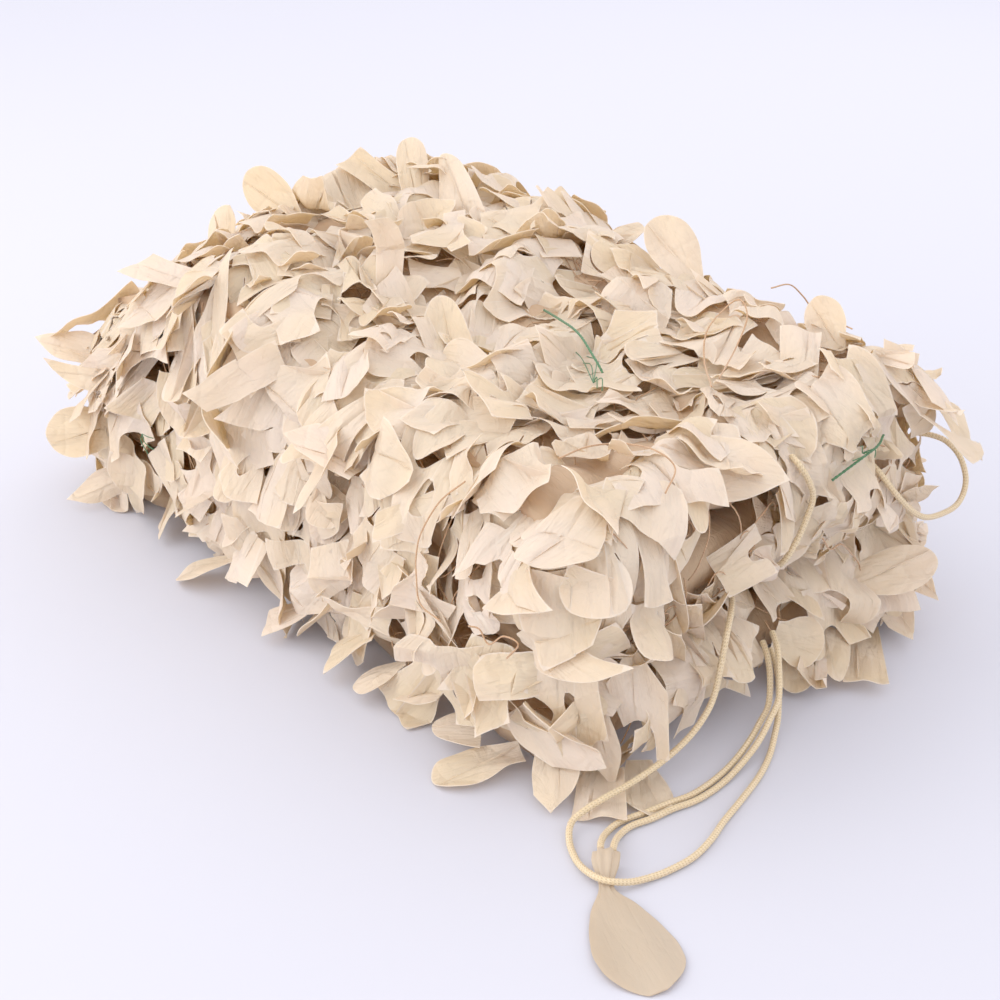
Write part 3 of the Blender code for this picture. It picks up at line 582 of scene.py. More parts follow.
inner_line, inner_length = fold_line()
rows, columns = len(inner_line), np.linspace(-1, 1, 36)
inner_width = 2 * (HALF_WIDTH - FOLD_INSET)
ragged = [share * np.sin(np.linspace(0, turn, rows))[:, None] for share, turn in ((0.05, 60), (0.03, 171))]
grid = np.empty((rows, len(columns), 3))
grid[..., 0] = inner_line[:, 0][:, None]
grid[..., 1] = inner_width / 2 * columns[None, :] * np.minimum(1 + ragged[0] + ragged[1], 1.06)
grid[..., 2] = np.maximum(inner_line[:, 1][:, None], INNER_BAND / 2 + 0.001)
stack = grid.reshape(-1, 3)
pushes = [crumple(stack, CRUMPLE * share, seed) for seed, share in ((1, 0.5), (2, 0.6), (3, 1.0))]
stack = stack + np.stack(pushes, 1)
stack[:, 2] = np.maximum(stack[:, 2], INNER_BAND / 2 + 0.0015)
inner_folds = mesh_object("inner_folds", settle(stack), grid_faces(rows, len(columns), False), inner_cloth_painted_shade)
row, column = np.meshgrid(np.linspace(0, inner_length, rows), columns * inner_width / 2, indexing="ij")
keep_cloth_places(inner_folds, np.stack([row, column], -1).reshape(-1, 2))


def choose(piece):
    """Make a piece the only chosen one."""
    bpy.ops.object.select_all(action="DESELECT")
    piece.select_set(True)
    bpy.context.view_layer.objects.active = piece


def modify(piece, kind, **settings):
    """Add a modifier by its operator, set it and apply it."""
    choose(piece)
    bpy.ops.object.modifier_add(type=kind)
    made = piece.modifiers[-1]
    for name, value in settings.items():
        setattr(made, name, value)
    bpy.ops.object.modifier_apply(modifier=made.name)


modify(inner_folds, "SOLIDIFY", thickness=INNER_BAND, offset=0.0)
for vertex in inner_folds.data.vertices:
    vertex.co.z = max(vertex.co.z, OFF_FLOOR)
inner_folds.data.shade_smooth()
print("inner folds:", round(inner_length, 2), "m long,", len(inner_folds.data.polygons), "faces")

# %% [markdown]
# ## The shapes that are cut into the cloth
#
# On the flat cloth the cuts are arcs and straight slits. What hangs between them is round, square, slanted
# or pointed. A wide piece keeps the windows that leaves were cut from, and each of those leaves still hangs
# in its window by an uncut root. Each shape is an outline of points in millimetres; "c" is a sharp corner,
# and "r" a point on a round stretch.

# %% Outlines of single leaves, from the root at 0 towards the tip
LEAF_SHAPES = {
    "round": "0,-13c 14,-18r 34,-25r 54,-22r 66,-10r 69,4r 62,18r 46,25r 28,22r 12,15r 0,13c",
    "blunt": "0,-27c 30,-22r 60,-13r 72,-6r 75,2r 70,10r 52,18r 26,25r 0,29c",
    "square": "0,-17c 16,-14r 36,-19r 64,-27c 68,-4r 70,24c 48,20r 24,14r 0,18c",
    "slant": "0,-15c 22,-17r 52,-24c 76,18c 52,22r 26,18r 0,16c",
    "horn": "0,-22c 20,-17r 44,-14r 78,-20c 62,2r 44,14r 20,22r 0,24c",
    "spear": "0,-16c 24,-22r 44,-20r 82,2c 50,20r 24,20r 0,16c",
    "fishtail": "0,-14c 20,-12r 40,-17r 66,-32c 56,-10r 54,4r 60,16r 74,26c 50,22r 24,13r 0,14c",
    "tee": (
        "0,-16c 18,-12r 32,-14r 38,-22r 40,-40c 66,-42c 62,-14r 62,12r 70,38c 44,40c 36,18r 26,12r "
        "0,15c"),
    "scoop": "0,-34c 34,-36r 70,-32c 66,-22r 50,-14r 44,0r 50,13r 68,20r 86,26c 60,38r 28,38r 0,32c",
    "pane": "0,-24c 30,-25r 58,-28c 62,26c 30,24r 0,22c",
    "wedge": "0,-28c 28,-24r 54,-14c 74,12c 34,26r 0,26c",
    "strap": "0,-12c 40,-14r 84,-12c 90,12c 42,13r 0,13c",
    "notched": "0,-28c 32,-30r 64,-32c 60,-12r 44,-6r 46,6r 66,10c 68,30c 32,27r 0,26c",
    "hook": "0,-16c 30,-18r 56,-28c 78,-8c 60,-2r 48,10r 50,28c 24,20r 0,16c",
}
CORNER_SHAPES = {  # two wide flaps that hang at the corner by the cord
    "flag": "0,-20c 6,-2c 3,28c 36,30r 69,37c 72,26r 82,18c 76,2r 66,-20c 52,-12r 44,-20r 36,-38c",
    "archway": "0,2c 36,24c 81,15c 83,4c 60,6r 50,-4r 54,-17c 22,-25c",
}
FLAG_HOLE = "35,-1r 38,7r 50,6r 47,-1r"

# %% Outlines of the wide pieces, about their middle, and the leaves that hang in their windows
SHEET_SHAPES = {
    "bay": (
        "-74,-44c -44,-50r -20,-40r 6,-52r 34,-48c 44,-20r 62,-24r 84,-40c 92,-6r 80,20c 62,14r 46,22r "
        "40,50c 8,54r -12,40r -34,44r -52,58c -82,40c -66,4r"),
    "comb": (
        "-70,-52c -30,-56r 4,-50r 46,-58c 78,-50c 74,-34r 52,-28r 48,-16r 60,-8r 88,-8c 90,10c 66,12r "
        "50,18r 56,32r 82,42c 70,58c 30,50r -10,58r -66,52c -56,0r"),
    "wave": (
        "-86,-30c -60,-38r -36,-28r -14,-36r 12,-54r 40,-50r 58,-30r 88,-34c 96,14c 66,22r 46,40r "
        "20,46r -2,30r -26,36r -48,52r -70,44r -90,30c"),
    "apron": (
        "-60,-60c -24,-54r 20,-60r 62,-52r 92,-34r 96,-16r 80,-6r 66,2r 72,18r 94,34c 76,58c 34,52r "
        "-16,60r -62,56c -50,20r -64,-14r"),
    "ladder": (
        "-95,-30c -64,-36r -50,-20r -32,-18r -20,-40c 12,-42c 18,-20r 36,-16r 46,-36c 92,-32c 98,-4c "
        "72,4r 66,20r 86,38c 40,42c 28,20r 8,18r -4,40c -40,36c -46,14r -64,12r -72,32c -100,26c"),
    "maple": (
        "-60,-30c -36,-40r -20,-66c 2,-42r 24,-48r 52,-72c 54,-36r 66,-20r 98,-18c 74,6r 78,24r 96,54c "
        "58,42r 40,46r 22,72c 4,44r -22,40r -52,56c -56,20r -76,6c"),
    "strip": (
        "-100,-18c -40,-24r 10,-18r 28,-36c 58,-38c 60,-20r 100,-26c 90,22c 42,22r 22,42c -8,38c "
        "-14,20r -60,24r -104,18c"),
}
WINDOW_LEAVES = {
    "arch": "0,-15c 10,-19r 24,-19r 36,-12r 40,0r 36,12r 24,19r 10,19r 0,15c",
    "tab": "0,-12c 14,-14r 36,-19c 40,0r 38,18c 16,14r 0,13c",
    "point": "0,-16c 18,-15r 50,4c 24,15r 0,15c",
}
WINDOWS = {  # each sheet's windows: the leaf in it, where its root is and the way it points, in degrees
    "bay": (("arch", -58, -20, 0), ("tab", -56, 20, 0), ("point", 2, -24, 60)),
    "comb": (("arch", -52, -24, 0), ("tab", 10, -40, 90), ("arch", -6, 27, 0)),
    "wave": (("arch", 0, -26, 0), ("point", -72, -4, 0), ("arch", 46, -2, 0)),
    "apron": (("tab", -46, -30, 0), ("arch", 2, -30, 0), ("arch", -40, 20, 0), ("point", 10, 28, 0)),
    "ladder": (("tab", -52, 0, 0), ("point", 22, 2, 0)),
    "maple": (("arch", -40, -6, 0), ("tab", 18, -22, 0), ("arch", 22, 20, 0)),
    "strip": (("point", -60, 0, 0), ("tab", 10, 0, 0)),
}
HOLES = {  # and what was cut right out of it
    "bay": "52,-6r 62,-12r 72,-4r 64,4r",
    "comb": "-48,26r -34,20r -18,30c -32,40r",
    "wave": "-8,8c 8,-2r 26,6c 10,16r",
    "apron": "54,-26r 66,-34r 76,-24r 64,-16r",
    "ladder": "-12,-8r -2,-14r 8,-6c -2,4r",
    "maple": "-14,-34r -4,-40r 4,-32r -6,-26r",
    "strip": "66,-4r 76,-10r 82,4c 70,6r",
}
MM = 0.001
SLIT = 1.2  # width of a cut once the cloth has relaxed


def smooth_outline(shape, step, closed=True):
    """An outline through the points of a shape, in even steps, with its corners kept."""
    points = [(*map(float, word[:-1].split(",")), word[-1]) for word in shape.split()]
    count = len(points)
    line = []
    for at in range(count if closed else count - 1):
        b, c = np.array(points[at][:2]), np.array(points[(at + 1) % count][:2])
        a = np.array(points[at - 1][:2]) if points[at][2] == "r" else 2 * b - c
        d = np.array(points[(at + 2) % count][:2]) if points[(at + 1) % count][2] == "r" else 2 * c - b
        pieces = max(1, round(np.linalg.norm(c - b) / step))
        line += [between(a, b, c, d, share) for share in np.arange(pieces) / pieces]
    if not closed:
        line.append(np.array(points[-1][:2]))
    return np.array(line)


def inside(points, outline):
    """Which points lie inside a closed outline."""
    x, y = points[:, 0][:, None], points[:, 1][:, None]
    a, b = outline, np.roll(outline, -1, axis=0)
    crosses = (a[:, 1] > y) != (b[:, 1] > y)
    rise = np.where(b[:, 1] == a[:, 1], 1e-9, b[:, 1] - a[:, 1])
    return (crosses & (x < a[:, 0] + (y - a[:, 1]) * (b[:, 0] - a[:, 0]) / rise)).sum(axis=1) % 2 == 1


def window_leaf(kind, x, y, way):
    """A leaf in a window: its outline, the same moved out by half a slit, and the slit around it."""
    turn = np.array([heading(way), [-heading(way)[1], heading(way)[0]]])
    line = smooth_outline(WINDOW_LEAVES[kind], CUT_STEP, closed=False)
    ahead = np.gradient(line, axis=0)
    ahead /= np.linalg.norm(ahead, axis=1)[:, None]
    away = np.column_stack([ahead[:, 1], -ahead[:, 0]])
    leaf, middle, rim = (line @ turn + away @ turn * gap + (x, y) for gap in (0, SLIT / 2, SLIT))
    return middle, np.concatenate([leaf, rim[::-1]])


# %% Fill an outline with triangles fine enough to bend
CUT_STEP, FILL_STEP = 4.0, 6.0  # millimetres along an edge and between the points inside it


def cut_cloth(outline_points, hole_points, windows, creases):
    """A flat, finely divided piece of cloth. Its creases are edges of its triangles."""
    outline = smooth_outline(outline_points, CUT_STEP)
    hanging = [window_leaf(*window) for window in windows]
    holes = [slit for middle, slit in hanging]
    if hole_points:
        holes.append(smooth_outline(hole_points, CUT_STEP))
    low, high = outline.min(0), outline.max(0)
    across = np.arange(low[0], high[0], FILL_STEP)
    down = np.arange(low[1], high[1], FILL_STEP * 0.87)
    fill = np.array([(x + (n % 2) * FILL_STEP / 2, y) for n, y in enumerate(down) for x in across])
    keep = inside(fill, outline)
    for hole in holes:
        keep &= ~inside(fill, hole)
    edge = np.concatenate([outline, *holes])
    keep &= np.linalg.norm(fill[:, None, :] - edge[None, :, :], axis=2).min(axis=1) > 0.55 * FILL_STEP
    points = np.concatenate([edge, fill[keep]])
    edges, start = [], 0
    for loop in [outline, *holes]:
        edges += [(start + n, start + (n + 1) % len(loop)) for n in range(len(loop))]
        start += len(loop)
    far = 2 * np.abs(points).max()
    for way, place in creases:
        ahead = heading(way)
        along = np.array([-ahead[1], ahead[0]])
        edges.append((len(points), len(points) + 1))
        points = np.concatenate([points, [ahead * place - along * far, ahead * place + along * far]])
    made = geometry.delaunay_2d_cdt([Vector(point) for point in points], edges, [], 0, 1e-4)
    points = np.array([tuple(point) for point in made[0]])
    triangles = np.array(made[2])
    middle = points[triangles].mean(axis=1)
    keep = inside(middle, outline)
    for hole in holes:
        keep &= ~inside(middle, hole)
    leaves = []
    for (kind, x, y, way), (around_leaf, slit) in zip(windows, hanging):
        start = (heading(way) @ (x, y)) * MM
        leaves.append({"points": inside(points, around_leaf), "way": way, "start": start})
    triangles = triangles[keep]
    sides = [triangles[:, pair] for pair in ([0, 1], [1, 2], [2, 0])]
    sides = np.sort(np.concatenate(sides), axis=1)
    lone, uses = np.unique(sides, axis=0, return_counts=True)
    inward = np.ones(len(points))
    inward[lone[uses == 1].ravel()] = 0.0
    sharp = np.zeros(len(lone), bool)
    for way, place in creases:
        sharp |= (np.abs(points @ heading(way) - place) < 0.01)[lone].all(axis=1)
    used, again = np.unique(triangles, return_inverse=True)
    number = np.full(len(points), -1)
    number[used] = np.arange(len(used))
    for leaf in leaves:
        leaf["points"] = leaf["points"][used]
    return {"flat": points[used] * MM, "triangles": again.reshape(-1, 3), "leaves": leaves,
            "inward": inward[used], "creases": [(way, place * MM) for way, place in creases],
            "sharp": number[lone[sharp]]}


# %% Three ways to crease each shape
CREASINGS = 3
random = np.random.default_rng(11)
CLOTH = {}
for number in range(CREASINGS):
    for name, points in LEAF_SHAPES.items():
        creases = [(random.normal(0, 35), random.uniform(30, 50))]
        creases.append((random.normal(88, 16), random.uniform(-9, 9)))
        CLOTH[name + str(number)] = cut_cloth(points, "", (), creases[number == 0 :])
    for name, points in SHEET_SHAPES.items():
        lines = np.sort(random.uniform(-34, 34, 5))[::-1]
        creases = [(random.normal(0, 25), random.uniform(10, 60))]
        creases += [(random.normal(90, 9), place) for place in lines]
        CLOTH[name + str(number)] = cut_cloth(points, HOLES[name], WINDOWS[name], creases)
CLOTH["flag0"] = cut_cloth(CORNER_SHAPES["flag"], FLAG_HOLE, (), [(90, 8), (20, 40)])
CLOTH["archway0"] = cut_cloth(CORNER_SHAPES["archway"], "", (), [(80, 2)])
print("cut shapes:", {name: len(cut["triangles"]) for name, cut in CLOTH.items()})

# %% [markdown]
# ## Bending cloth that does not stretch
#
# Cloth bends like paper: it rolls around a line, and what lies beyond the line stays straight. So each leaf
# gets a few such rolls, from its tip back to its root, and keeps its cut size. A roll with hardly any radius
# is a crease, and creases make the calm flat facets that handled cloth has.

# %% Roll a leaf about a line
CREASE_RADIUS = 0.0003


def roll(bent, flat, way, start, radius, turn, only=True):
    """Roll the part beyond a line on the flat cloth. The way and start place the line; turn is in degrees."""
    way = heading(way)
    along = flat @ way - start
    most = abs(math.radians(turn))
    hand = 1.0 if turn >= 0 else -1.0
    angle = np.clip(along / radius, 0.0, most)
    here = bent[:, 0] * way[0] + bent[:, 1] * way[1] - start
    height = bent[:, 2] * hand
    straight = here - radius * angle
    moved = radius * np.sin(angle) + straight * np.cos(angle) - height * np.sin(angle)
    lifted = radius * (1 - np.cos(angle)) + straight * np.sin(angle) + height * np.cos(angle)
    result = bent.copy()
    result[:, :2] += np.outer(moved - here, way)
    result[:, 2] = hand * lifted
    return np.where(((along > 0) & only)[:, None], result, bent)


# %% [markdown]
# ## Places on the bundle
#
# The skin is followed by two belts, like the string on a parcel. One goes round the bundle: up the near
# side, over the top and down the far side. The other goes over its ends. A place is a distance along a
# belt and one to its side. The belts bend but do not stretch, so a leaf keeps its size on them.

# %% Belts
SIDE = STACK_HEIGHT - EDGE  # straight height of a side
ARC = math.pi / 2 * EDGE
HALVES = {"round": (HALF_WIDTH, HALF_LENGTH), "over": (HALF_LENGTH, HALF_WIDTH)}
BELT = {kind: 2 * SIDE + 2 * ARC + 2 * (halves[0] - EDGE) for kind, halves in HALVES.items()}


def belt(kind, side, distance):
    """Points on the rounded box and the ways out there, for places on a belt."""
    half, other = HALVES[kind]
    side, distance = np.broadcast_arrays(np.atleast_1d(side).astype(float), distance)
    top = 2 * (half - EDGE)
    last = SIDE + 2 * ARC + top
    angle = (np.clip(distance - SIDE, 0, ARC) + np.clip(distance - SIDE - ARC - top, 0, None)) / EDGE
    angle = np.minimum(angle, math.pi)
    along = EDGE - half + np.clip(distance - SIDE - ARC, 0, top) - EDGE * np.cos(angle)
    below = np.clip(SIDE - distance, 0, None) + np.clip(distance - last, 0, None)
    height = SIDE + EDGE * np.sin(angle) - below
    over = np.clip(np.abs(side) - (other - EDGE), 0, None)
    turn = np.minimum(over / EDGE, math.pi / 2)
    hand = np.sign(side)
    flat_side = hand * (np.minimum(np.abs(side), other - EDGE) + EDGE * np.sin(turn))
    drop = EDGE * (1 - np.cos(turn)) + over - EDGE * turn
    out_along, out_up = -np.cos(angle), np.sin(angle)
    along, height = along - out_along * drop, height - out_up * drop
    ways = [out_along * np.cos(turn), hand * np.sin(turn), out_up * np.cos(turn)]
    if kind == "round":
        return np.stack([flat_side, along, height], 1), np.stack([ways[1], ways[0], ways[2]], 1)
    return np.stack([along, -flat_side, height], 1), np.stack([ways[0], -ways[1], ways[2]], 1)


# %% Keep cloth under the cords that lie on it
CORD_CLEAR = 0.008  # cloth within this distance of a cord is pressed down
CORD_UNDER, CORD_OVER = 0.005, 0.045  # this far under its middle, where it isn't much higher than the cord
CORD_LINES = np.concatenate([found["line"][::6] for found in cords.values()])


def under_cords(points, out):
    """Press cloth down where a cord or tie lies on it."""
    gap = points[:, None, :] - CORD_LINES[None, :, :]
    above = (gap * out[:, None, :]).sum(axis=2)
    beside = np.linalg.norm(gap - above[..., None] * out[:, None, :], axis=2)
    nearest = beside.argmin(axis=1)
    rows = np.arange(len(points))
    share = 1.0 - smooth_step(CORD_CLEAR, 2.2 * CORD_CLEAR, beside[rows, nearest])
    too_high = np.maximum(above[rows, nearest] + CORD_UNDER, 0.0)
    pressed = np.where(too_high < CORD_OVER, too_high * share, 0.0)
    return points - out * pressed[:, None]


# %% Slack in the cloth: soft waves that run along a leaf, and slower ones aslant
WAVE_ROOM, WAVE_HEIGHT = 0.027, 0.0013


def slack(flat, waves):
    """Heights of the soft waves; waves holds where they start and how they slant."""
    along, across = flat[:, 0] / WAVE_ROOM, flat[:, 1] / WAVE_ROOM
    first = np.sin(2 * math.pi * (across + 0.15 * waves[0] * along + waves[1]) + 0.9 * np.sin(2.1 * along))
    second = np.sin(2 * math.pi * (0.45 * along + waves[2] * across + waves[3]))
    return WAVE_HEIGHT * (first + 0.8 * second)


# %% How big a piece of cloth is
def area_of(points, triangles):
    """The area of triangles in square metres."""
    a, b, c = (points[triangles[:, corner]] for corner in range(3))
    return float(np.linalg.norm(np.cross(b - a, c - a), axis=1).sum() / 2)


def cut_area(leaf):
    """The flat area of a leaf in square metres."""
    cut = CLOTH[leaf["cut"]]
    flat = np.column_stack([cut["flat"] * (leaf["long"], leaf["wide"]), np.zeros(len(cut["flat"]))])
    return area_of(flat, cut["triangles"])


# %% Lay one leaf or sheet on the bundle
HINGE, HINGE_RADIUS = 0.001, 0.006  # a leaf in a window turns this far from its root, about such a roll
FLOOR_GAP = 0.0012  # the lowest cloth lies this far off the floor
FLOOR_SPLAY = 0.5  # how much of what would go into the floor spreads outwards on it
LEVEL_TOP = 0.278  # what would stand higher than this is bent over: a pack like this was pressed flat
KEPT_ABOVE = 0.4  # so much of the height above it is left
MOST_GROWN = 1.05


def bent_over(points):
    """Press down what stands above the level top."""
    points[:, 2] = np.minimum(points[:, 2], LEVEL_TOP + KEPT_ABOVE * (points[:, 2] - LEVEL_TOP))
    return points


def scaled_line(way, start, scale):
    """A line on the flat cloth, by the way across it and its distance, after the cloth is scaled."""
    across = heading(way) / scale
    return math.degrees(math.atan2(across[1], across[0])), start / np.linalg.norm(across)


def bend_leaf(leaf):
    """A leaf bent about its root: its flat and its bent points in metres, and its triangles."""
    cut = CLOTH[leaf["cut"]]
    scale = np.array([leaf["long"], leaf["wide"]]) * (1.0, leaf["hand"])
    flat = cut["flat"] * scale
    bent = np.column_stack([flat, slack(flat, leaf["waves"])])
    for (way, start), turn in zip(cut["creases"], leaf["folds"]):
        bent = roll(bent, flat, *scaled_line(way, start, scale), CREASE_RADIUS, turn)
    for window, turn in zip(cut["leaves"], leaf.get("turns", ())):
        way, start = scaled_line(window["way"], window["start"], scale)
        bent = roll(bent, flat, way, start + HINGE, HINGE_RADIUS, turn, window["points"])
    for rolled in leaf["rolls"]:
        bent = roll(bent, flat, *rolled)
    return flat, bent, cut["triangles"][:, :: leaf["hand"]]


def stretch_at(kind, side, distance):
    """How much the slump stretches the bundle at a place: along its side, along the belt and outwards."""
    root, out = belt(kind, side, distance)
    near = [root, belt(kind, side + MM, distance)[0], belt(kind, side, distance + MM)[0], root + MM * out]
    near = settle(np.concatenate(near))
    return np.linalg.norm(near[1:] - near[0], axis=1) / MM


def lay_leaf(leaf):
    """A leaf laid on the bundle, as points and triangles; cloth that came out stretched is eased."""
    flat, bent, triangles = bend_leaf(leaf)
    stretch = stretch_at(leaf["belt"], leaf["side"], leaf["distance"])
    for attempt in range(3):
        placed = lay_bent(leaf, flat, bent, stretch)
        grown = area_of(placed, triangles) / cut_area(leaf)
        stretch[:2] *= max(1.0, grown / MOST_GROWN) ** 0.5
    return bent_over(placed), triangles


def lay_bent(leaf, flat, bent, stretch):
    """The points of a bent leaf on the bundle, where the bundle stretches its places by so much."""
    ahead = heading(leaf["way"])
    spread = (bent[:, :1] * ahead + bent[:, 1:2] * (-ahead[1], ahead[0])) / stretch[:2]
    height = (bent[:, 2] + leaf["tilt"] * flat[:, 0]) / stretch[2] + leaf["lift"]
    place, out = belt(leaf["belt"], leaf["side"] + spread[:, 0], leaf["distance"] + spread[:, 1])
    clung = settle(place + out * (ridges(place, out) + height)[:, None])
    root, root_out = belt(leaf["belt"], leaf["side"], leaf["distance"])
    sideways = belt(leaf["belt"], leaf["side"] + MM, leaf["distance"])[0][0] - root[0]
    sideways /= np.linalg.norm(sideways)
    onward = np.cross(root_out[0], sideways)
    tangent = root + spread[:, :1] * sideways + spread[:, 1:] * onward
    stiff = settle(tangent + root_out * (height + ridges(root, root_out)[0])[:, None])
    placed = stiff + (clung - stiff) * leaf["cling"]
    placed = under_cords(placed, out)
    low = np.maximum(FLOOR_GAP + leaf["floor"] - placed[:, 2], 0.0)
    placed[:, :2] += out[:, :2] * low[:, None] * FLOOR_SPLAY
    placed[:, 2] += low
    return placed


# %% Join many leaves in one piece of cloth
CLOTH_THICKNESS = 0.0005
SHARP = math.radians(40)  # edges that turn by more than this look sharp


def cloth_piece(name, leaves):
    """One mesh of many leaves, each a closed, thin sheet with its cut edge in a paler finish of its own,
    partly a painted rim highlight.
    """
    points, faces, inward, flat, sharp, area, start = [], [], [], [], [], 0.0, 0
    for number, leaf in enumerate(leaves):
        cut = CLOTH[leaf["cut"]]
        placed, triangles = stand_leaf(leaf) if "root" in leaf else lay_leaf(leaf)
        points.append(placed)
        faces += (triangles + start).tolist()
        inward.append(cut["inward"])
        flat.append(cut["flat"] * (leaf["long"], leaf["wide"]) + (0.31 * (number % 17), 0.23 * (number % 13)))
        sharp.append(cut["sharp"] + start)
        area += cut_area(leaf)
        start += len(placed)
    piece = mesh_object(name, np.concatenate(points), faces, leaf_cloth, cut_edge_and_highlight)
    piece.data.attributes.new("inward", "FLOAT", "POINT").data.foreach_set("value", np.concatenate(inward))
    keep_cloth_places(piece, np.concatenate(flat))
    piece["area"] = area
    modify(piece, "SOLIDIFY", thickness=CLOTH_THICKNESS, offset=0.0, material_offset_rim=1)
    piece.data.shade_smooth()
    piece.data.set_sharp_from_angle(angle=SHARP)
    mark_creases(piece.data, np.concatenate(sharp), start)
    triangles = sum(len(face.vertices) - 2 for face in piece.data.polygons)
    print(name, "has", len(leaves), "cut shapes and", triangles, "triangles")
    return piece


def mark_creases(mesh, pairs, points_a_side):
    """Mark the creases as sharp on both sides of the cloth. A side's points follow the other's."""
    ends = np.empty(2 * len(mesh.edges), np.int64)
    mesh.edges.foreach_get("vertices", ends)
    ends = np.sort(ends.reshape(-1, 2), axis=1)
    pairs = np.sort(pairs, axis=1)
    pairs = np.concatenate([pairs, pairs + points_a_side])
    size = len(mesh.vertices)
    creased = np.isin(ends[:, 0] * size + ends[:, 1], pairs[:, 0] * size + pairs[:, 1])
    found = mesh.attributes.get("sharp_edge") or mesh.attributes.new("sharp_edge", "BOOLEAN", "EDGE")
    sharp = np.zeros(len(mesh.edges), bool)
    found.data.foreach_get("value", sharp)
    found.data.foreach_set("value", sharp | creased)


# %% [markdown]
# ## What is placed one by one
#
# A few things are known by where they are seen. The skin of the bundle is sampled and looked at through
# the camera, which finds the place on the bundle that lies behind a spot in the picture.

# %% The skin as the camera sees it
def laid_yarn(kind, line, height):
    """A yarn that follows a line of places on a belt, at a height off the skin."""
    place, out = belt(kind, line[:, 0], line[:, 1])
    laid = settle(place + out * (ridges(place, out) + height)[:, None])
    laid[:, 2] = np.maximum(laid[:, 2], 0.001)
    return laid


def pictured(points):
    """Where points are in the picture, in pixels, and how far away they are."""
    seen = (np.asarray(points) - EYE) @ TURNED
    scale = PICTURE * LENS / SENSOR / -seen[:, 2]
    return PICTURE / 2 + np.column_stack([seen[:, 0], -seen[:, 1]]) * scale[:, None], -seen[:, 2]


SKIN = []
CLOTH_HIGH = 0.004  # the cloth that is seen lies about this high on the skin
PIXELS_OFF, METRES_A_PIXEL = 4.0, 0.02  # a place seen farther off than this counts as so much farther away
for kind, (half, other) in HALVES.items():
    sides, along = np.meshgrid(np.linspace(-other, other, 150), np.linspace(0, BELT[kind], 260))
    place, out = belt(kind, sides.ravel(), along.ravel())
    pixels, depth = pictured(settle(place + out * (ridges(place, out) + CLOTH_HIGH)[:, None]))
    SKIN.append((kind, sides.ravel(), along.ravel(), pixels, depth))


def seen_at(u, v):
    """The belt and the place on it that the camera sees at a pixel: the nearest skin there."""
    found = []
    for kind, side, along, pixels, depth in SKIN:
        off = np.linalg.norm(pixels - (u, v), axis=1)
        rank = depth + METRES_A_PIXEL * np.maximum(off - PIXELS_OFF, 0.0)
        at = rank.argmin()
        found.append((rank[at], kind, side[at], along[at]))
    return min(found, key=lambda place: place[0])[1:]


def laid_at(u, v, height):
    """A point that lies a height above the skin where the camera sees it."""
    kind, side, along = seen_at(u, v)
    return laid_yarn(kind, np.array([[side, along]]), height)[0]


def seen_through(pixel, depth):
    """The point at a depth in front of the camera that is seen at a pixel."""
    aside = (np.array(pixel, float) - PICTURE / 2) * (1, -1) * SENSOR / (PICTURE * LENS) * depth
    return EYE + TURNED @ np.append(aside, -depth)


# %% Stand a leaf by its root's and its tip's place in the picture
ROOT_SUNK = 0.005  # its root is this far under the skin
TIP_TOP = LEVEL_TOP + 0.004


def stand_leaf(leaf):
    """A leaf whose root is in the bundle's skin, and whose tip is seen at a pixel, and its triangles."""
    root = laid_at(*leaf["root"], -ROOT_SUNK)
    depth = pictured(root[None])[1][0]
    apparent = math.dist(leaf["tip"], leaf["root"]) * depth * SENSOR / (PICTURE * LENS)
    ray = seen_through(leaf["tip"], depth + leaf.get("away", 0.0) * apparent) - EYE
    if "tip_height" in leaf:  # on the floor, seen from above
        height, facing = leaf["tip_height"], np.array([0.0, 0.0, 1.0])
    else:
        height, facing = min(EYE[2] + ray[2], TIP_TOP), EYE - root
    ahead = EYE + ray * (height - EYE[2]) / ray[2] - root
    length = np.linalg.norm(ahead)
    ahead /= length
    across = np.cross(facing, ahead)
    across /= np.linalg.norm(across)
    out = np.cross(ahead, across)
    level, steep = heading(leaf["face"])
    across, out = across * level + out * steep, out * level - across * steep
    size = np.ptp(CLOTH[leaf["cut"]]["flat"], axis=0)
    leaf.update(long=length / size[0], wide=leaf["across"] * MM / size[1], hand=1)
    flat, bent, triangles = bend_leaf(leaf)
    placed = root + bent[:, :1] * ahead + bent[:, 1:2] * across + bent[:, 2:] * out
    placed[:, 2] = np.maximum(placed[:, 2], FLOOR_GAP)
    return bent_over(placed), triangles


# %% Tubes in one piece
def joined_tubes(name, lines, radius, sides, material):
    """Many thin tubes as one piece."""
    points, faces, start = [], [], 0
    for line in lines:
        verts, tube = tube_arrays(line, plain(radius), sides)
        points.append(verts)
        faces += [[corner + start for corner in face] for face in tube]
        start += len(verts)
    return mesh_object(name, np.concatenate(points), faces, material)


